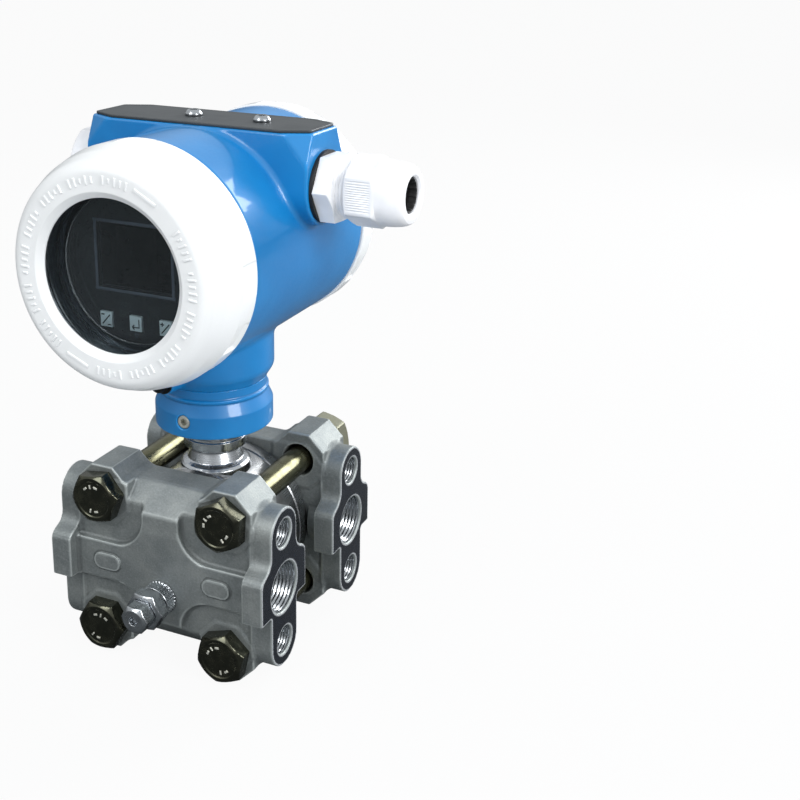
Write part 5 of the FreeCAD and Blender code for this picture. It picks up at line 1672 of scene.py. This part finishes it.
@dataclass
class CableEntry:
    """The gland on the +X side and the blind plug on the -X side."""

    line: Line = Line(Axis.X, 3.0, 135.8)
    across: float = 22.0
    start: float = 44.7
    hexagon: float = 6.3
    neck: float = 4.2
    nut: float = 11.0
    dome: float = 9.5

    def gland_body(self) -> Skin:
        """Return the entry thread, the hexagon and the thread under the dome nut."""
        start, end = self.start, self.start + self.hexagon
        outline = [(33.7, 6.4), (33.7, 7.4), (34.2, 7.95), (start, 7.95), (start, 10.4, 0.2),
                   (start + 0.1, 12.7), (end - 0.9, 12.7), (end - 0.1, 11.2, 0.3), (end, 10.6),
                   (end, 10.2, 0.2), (end + 0.7, 9.7, 0.2), (end + 1.4, 10.15, 0.2),
                   (65.2, 10.15), (65.2, 7.65), (57.4, 7.65), (57.4, 6.4)]
        flat = flats(self.across, 6, 30)
        threads = chained(helix(1.5, 0.7, 34.5, start - 0.5), helix(2.0, 0.6, end + 0.4, 65))

        def shape(turn: Array, along: Array, radius: Array) -> Array:
            """Cut the outer skin to flats or thread, whichever is deeper."""
            threaded = threads(turn, along, radius)
            outer = np.minimum(flat(turn, along, radius), threaded)
            return np.where(radius > 9, outer, np.where(radius > 7.7, threaded, radius))

        return revolve(self.line, outline, 0.35, 192, shape, True)

    def gland_nut(self) -> Skin:
        """Return the dome nut: ribbed flats, then the dome and its mouth."""
        low = self.start + self.hexagon + self.neck
        high = low + self.nut
        tip = high + self.dome
        dome = [(high + self.dome * math.sin(t), 8.4 + 2.6 * math.cos(t)**0.8 + 0.2)
                for t in np.linspace(0.12, math.pi / 2 - 0.22, 9)]
        outline = [(low, 10.35), (low, 11.6, 0.4), (low + 0.5, 12.6, 0.3), (high - 1.2, 12.6, 0.4),
                   (high - 0.1, 11.3, 0.2), *dome, (tip, 8.2, 0.9), (tip, 6.9, 0.5),
                   (tip - 0.8, 6.2, 0.4), (tip - 3.1, 6.2), (tip - 5.2, 7.7), (65.4, 7.7),
                   (65.4, 10.35)]

        def ribs(turn: Array, along: Array, radius: Array) -> Array:
            """Sink fine grooves into the middle of each flat, along the nut."""
            off = np.abs(off_middle(turn, math.pi / 3, math.pi / 3))
            ribbed = (off < math.radians(26)) * (radius > 10.6)
            depth = 0.22 * faded(along, low + 0.7, high - 1.5, 0.3)
            return radius - depth * ribbed * (1 + np.cos(turn * 90)) / 2

        shape = within(10.5, math.inf, chained(flats(self.across, 6, 60, 0.3), ribs))
        return revolve(self.line, outline, 0.9, 600, shape, True)

    def plug(self) -> Skin:
        """Return the blind plug: entry thread and a low domed hexagon."""
        outline = [(-33.7, 0), (-33.7, 7.4), (-34.2, 7.95), (-44.7, 7.95), (-44.7, 12.0, 0.3),
                   (-45.2, 14.4), (-50.4, 14.4), (-52.0, 12.4, 1.5), (-52.7, 10.6, 1.5),
                   (-52.7, 0)]
        shape = chained(within(9, math.inf, flats(25.0, 6, 30, 0.4)),
                        within(0, 9, helix(1.5, 0.7, -44.2, -34.5)))
        return revolve(self.line, outline, 0.5, 192, shape)

    def bush(self) -> Skin:
        """Return the bush in the gland's mouth with its clamping slots."""
        outline = [(57.5, 5.05), (57.5, 7.55), (69.6, 7.55, 0.3), (72.2, 6.1, 0.3),
                   (74.5, 6.1, 0.3), (74.5, 5.6, 0.2), (72.2, 5.05, 0.3)]
        slots = within(0, 6.9, waves(12, 0.35, 66.0, 74.6, 4.0))
        return revolve(self.line, outline, 0.4, 192, slots, True)

    def build(self) -> None:
        """Make the gland and the plug."""
        for name, skin, body, node in (
                ("gland_hexagon", self.gland_body(), Body.HOUSING, "gland_body"),
                ("gland_dome_nut", self.gland_nut(), Body.GLAND_NUT, "gland_nut"),
                ("blind_plug_cap", self.plug(), Body.PLUG, "blind_plug")):
            fit(name, skin, body, "nylon_white", [node], 32)
        fit("gland_bush", self.bush(), Body.HOUSING, "rubber", ["gland_seal"])


# ---------------------------------------------------------------- studio

@dataclass
class Studio:
    """A floor and a sky that look white to the camera, soft lights, and the camera."""

    azimuth: float = 23.47
    elevation: float = 15.65
    roll: float = 0.87
    position: Point = (0.211008, -0.357770, 0.261038)
    lens: float = 55.30
    shift: tuple[float, float] = (0.0229, -0.1809)
    aim: Point = (0.0, 0.0, 0.10)
    floor_white: float = 0.94
    sky_height: float = 0.42
    sky_low: float = 0.16
    sky_high: float = 0.78

    def camera(self) -> None:
        """Place the camera: its columns are right, up and back."""
        a, e, r = (math.radians(value) for value in (self.azimuth, self.elevation, self.roll))
        back = Vector((math.sin(a) * math.cos(e), -math.cos(a) * math.cos(e), math.sin(e)))
        right = Vector((math.cos(a), math.sin(a), 0))
        up = back.cross(right)
        turned_right = math.cos(r) * right + math.sin(r) * up
        turned_up = -math.sin(r) * right + math.cos(r) * up
        matrix = Matrix((turned_right, turned_up, back)).transposed().to_4x4()
        matrix.translation = self.position
        data = bpy.data.cameras.new("camera")
        data.lens = self.lens
        data.shift_x, data.shift_y = self.shift
        data.clip_start = 0.01
        camera = bpy.data.objects.new("camera", data)
        camera.matrix_world = matrix
        bpy.context.scene.collection.objects.link(camera)
        bpy.context.scene.camera = camera

    def light(self, name: str, place: Point, size: float, power: float) -> None:
        """Hang a square soft light that faces the object.

        Args:
            name: its name.
            place: where it hangs, in metres.
            size: its side in metres.
            power: in watts.
        """
        data = bpy.data.lights.new(name, "AREA")
        data.shape = "SQUARE"
        data.size, data.energy = size, power
        lamp = bpy.data.objects.new(name, data)
        lamp.location = place
        towards = Vector(self.aim) - Vector(place)
        lamp.rotation_euler = towards.to_track_quat("-Z", "Y").to_euler()
        bpy.context.scene.collection.objects.link(lamp)

    def floor(self) -> None:
        """Lay the floor, white to the camera and plain grey to everything else."""
        mesh = bpy.data.meshes.new("floor")
        w = 6.0
        mesh.from_pydata([(-w, -w, 0), (w, -w, 0), (w, w, 0), (-w, w, 0)], [], [(0, 1, 2, 3)])
        floor = bpy.data.objects.new("floor", mesh)
        bpy.context.scene.collection.objects.link(floor)
        material = bpy.data.materials.new("floor")
        graph = Graph(material)
        white = graph.node("ShaderNodeEmission", {}, {"Color": WHITE})
        glossy = graph.node("ShaderNodeLightPath", {}, {}, "Is Glossy Ray")
        seen = graph.node("ShaderNodeLightPath", {}, {}, "Is Camera Ray")
        shade = graph.mix(glossy, tone(176, 178, 180), tone(70, 74, 76))
        graph.finish(base_color=shade, roughness=0.7)
        graph.show(seen * self.floor_white, None, white)
        mesh.materials.append(material)

    def world(self) -> None:
        """Make the world: white to the camera, a soft grey studio to everything else."""
        world = bpy.data.worlds.new("studio")
        bpy.context.scene.world = world
        graph = Graph(world)
        place = graph.node("ShaderNodeTexCoord", {}, {}, "Generated")
        height = graph.node("ShaderNodeSeparateXYZ", {}, {0: place}, "Z")
        ends = {"Value": height, "From Min": 0.0, "From Max": self.sky_height,
                "To Min": self.sky_low, "To Max": self.sky_high}
        strength = graph.node("ShaderNodeMapRange", {"interpolation_type": "SMOOTHSTEP"}, ends)
        soft = graph.node("ShaderNodeBackground", {},
                          {"Strength": strength, "Color": (0.95, 0.98, 1.0, 1.0)})
        white = graph.node("ShaderNodeBackground", {}, {"Color": WHITE})
        seen = graph.node("ShaderNodeLightPath", {}, {}, "Is Camera Ray")
        graph.show(seen, soft, white)

    def build(self) -> None:
        """Set the studio up."""
        self.camera()
        self.floor()
        self.world()
        self.light("key", (-0.25, -0.80, 0.80), 0.5, 4.5)
        self.light("right", (0.90, -0.30, 0.60), 0.45, 8.0)
        self.light("back", (0.38, 0.85, 0.46), 0.5, 7.5)
        bpy.context.scene.view_settings.view_transform = "Standard"


def main() -> None:
    """Dress every sub-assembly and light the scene."""
    logging.basicConfig(level=logging.INFO, format="%(name)s %(message)s")
    for look, nodes in CAD_LOOKS.items():
        for node in nodes:
            dress(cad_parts[node], look)
    for assembly in (Flanges(), FlangeBolts(), Vent("front", Body.FRONT_STEM, 0.0),
                     Vent("rear", Body.REAR_STEM, 180.0), Sensor(), Housing(), Nameplate(),
                     SmallScrews(), Covers(), Display(), CableEntry(), Studio()):
        assembly.build()


if __name__ == "__main__":
    main()
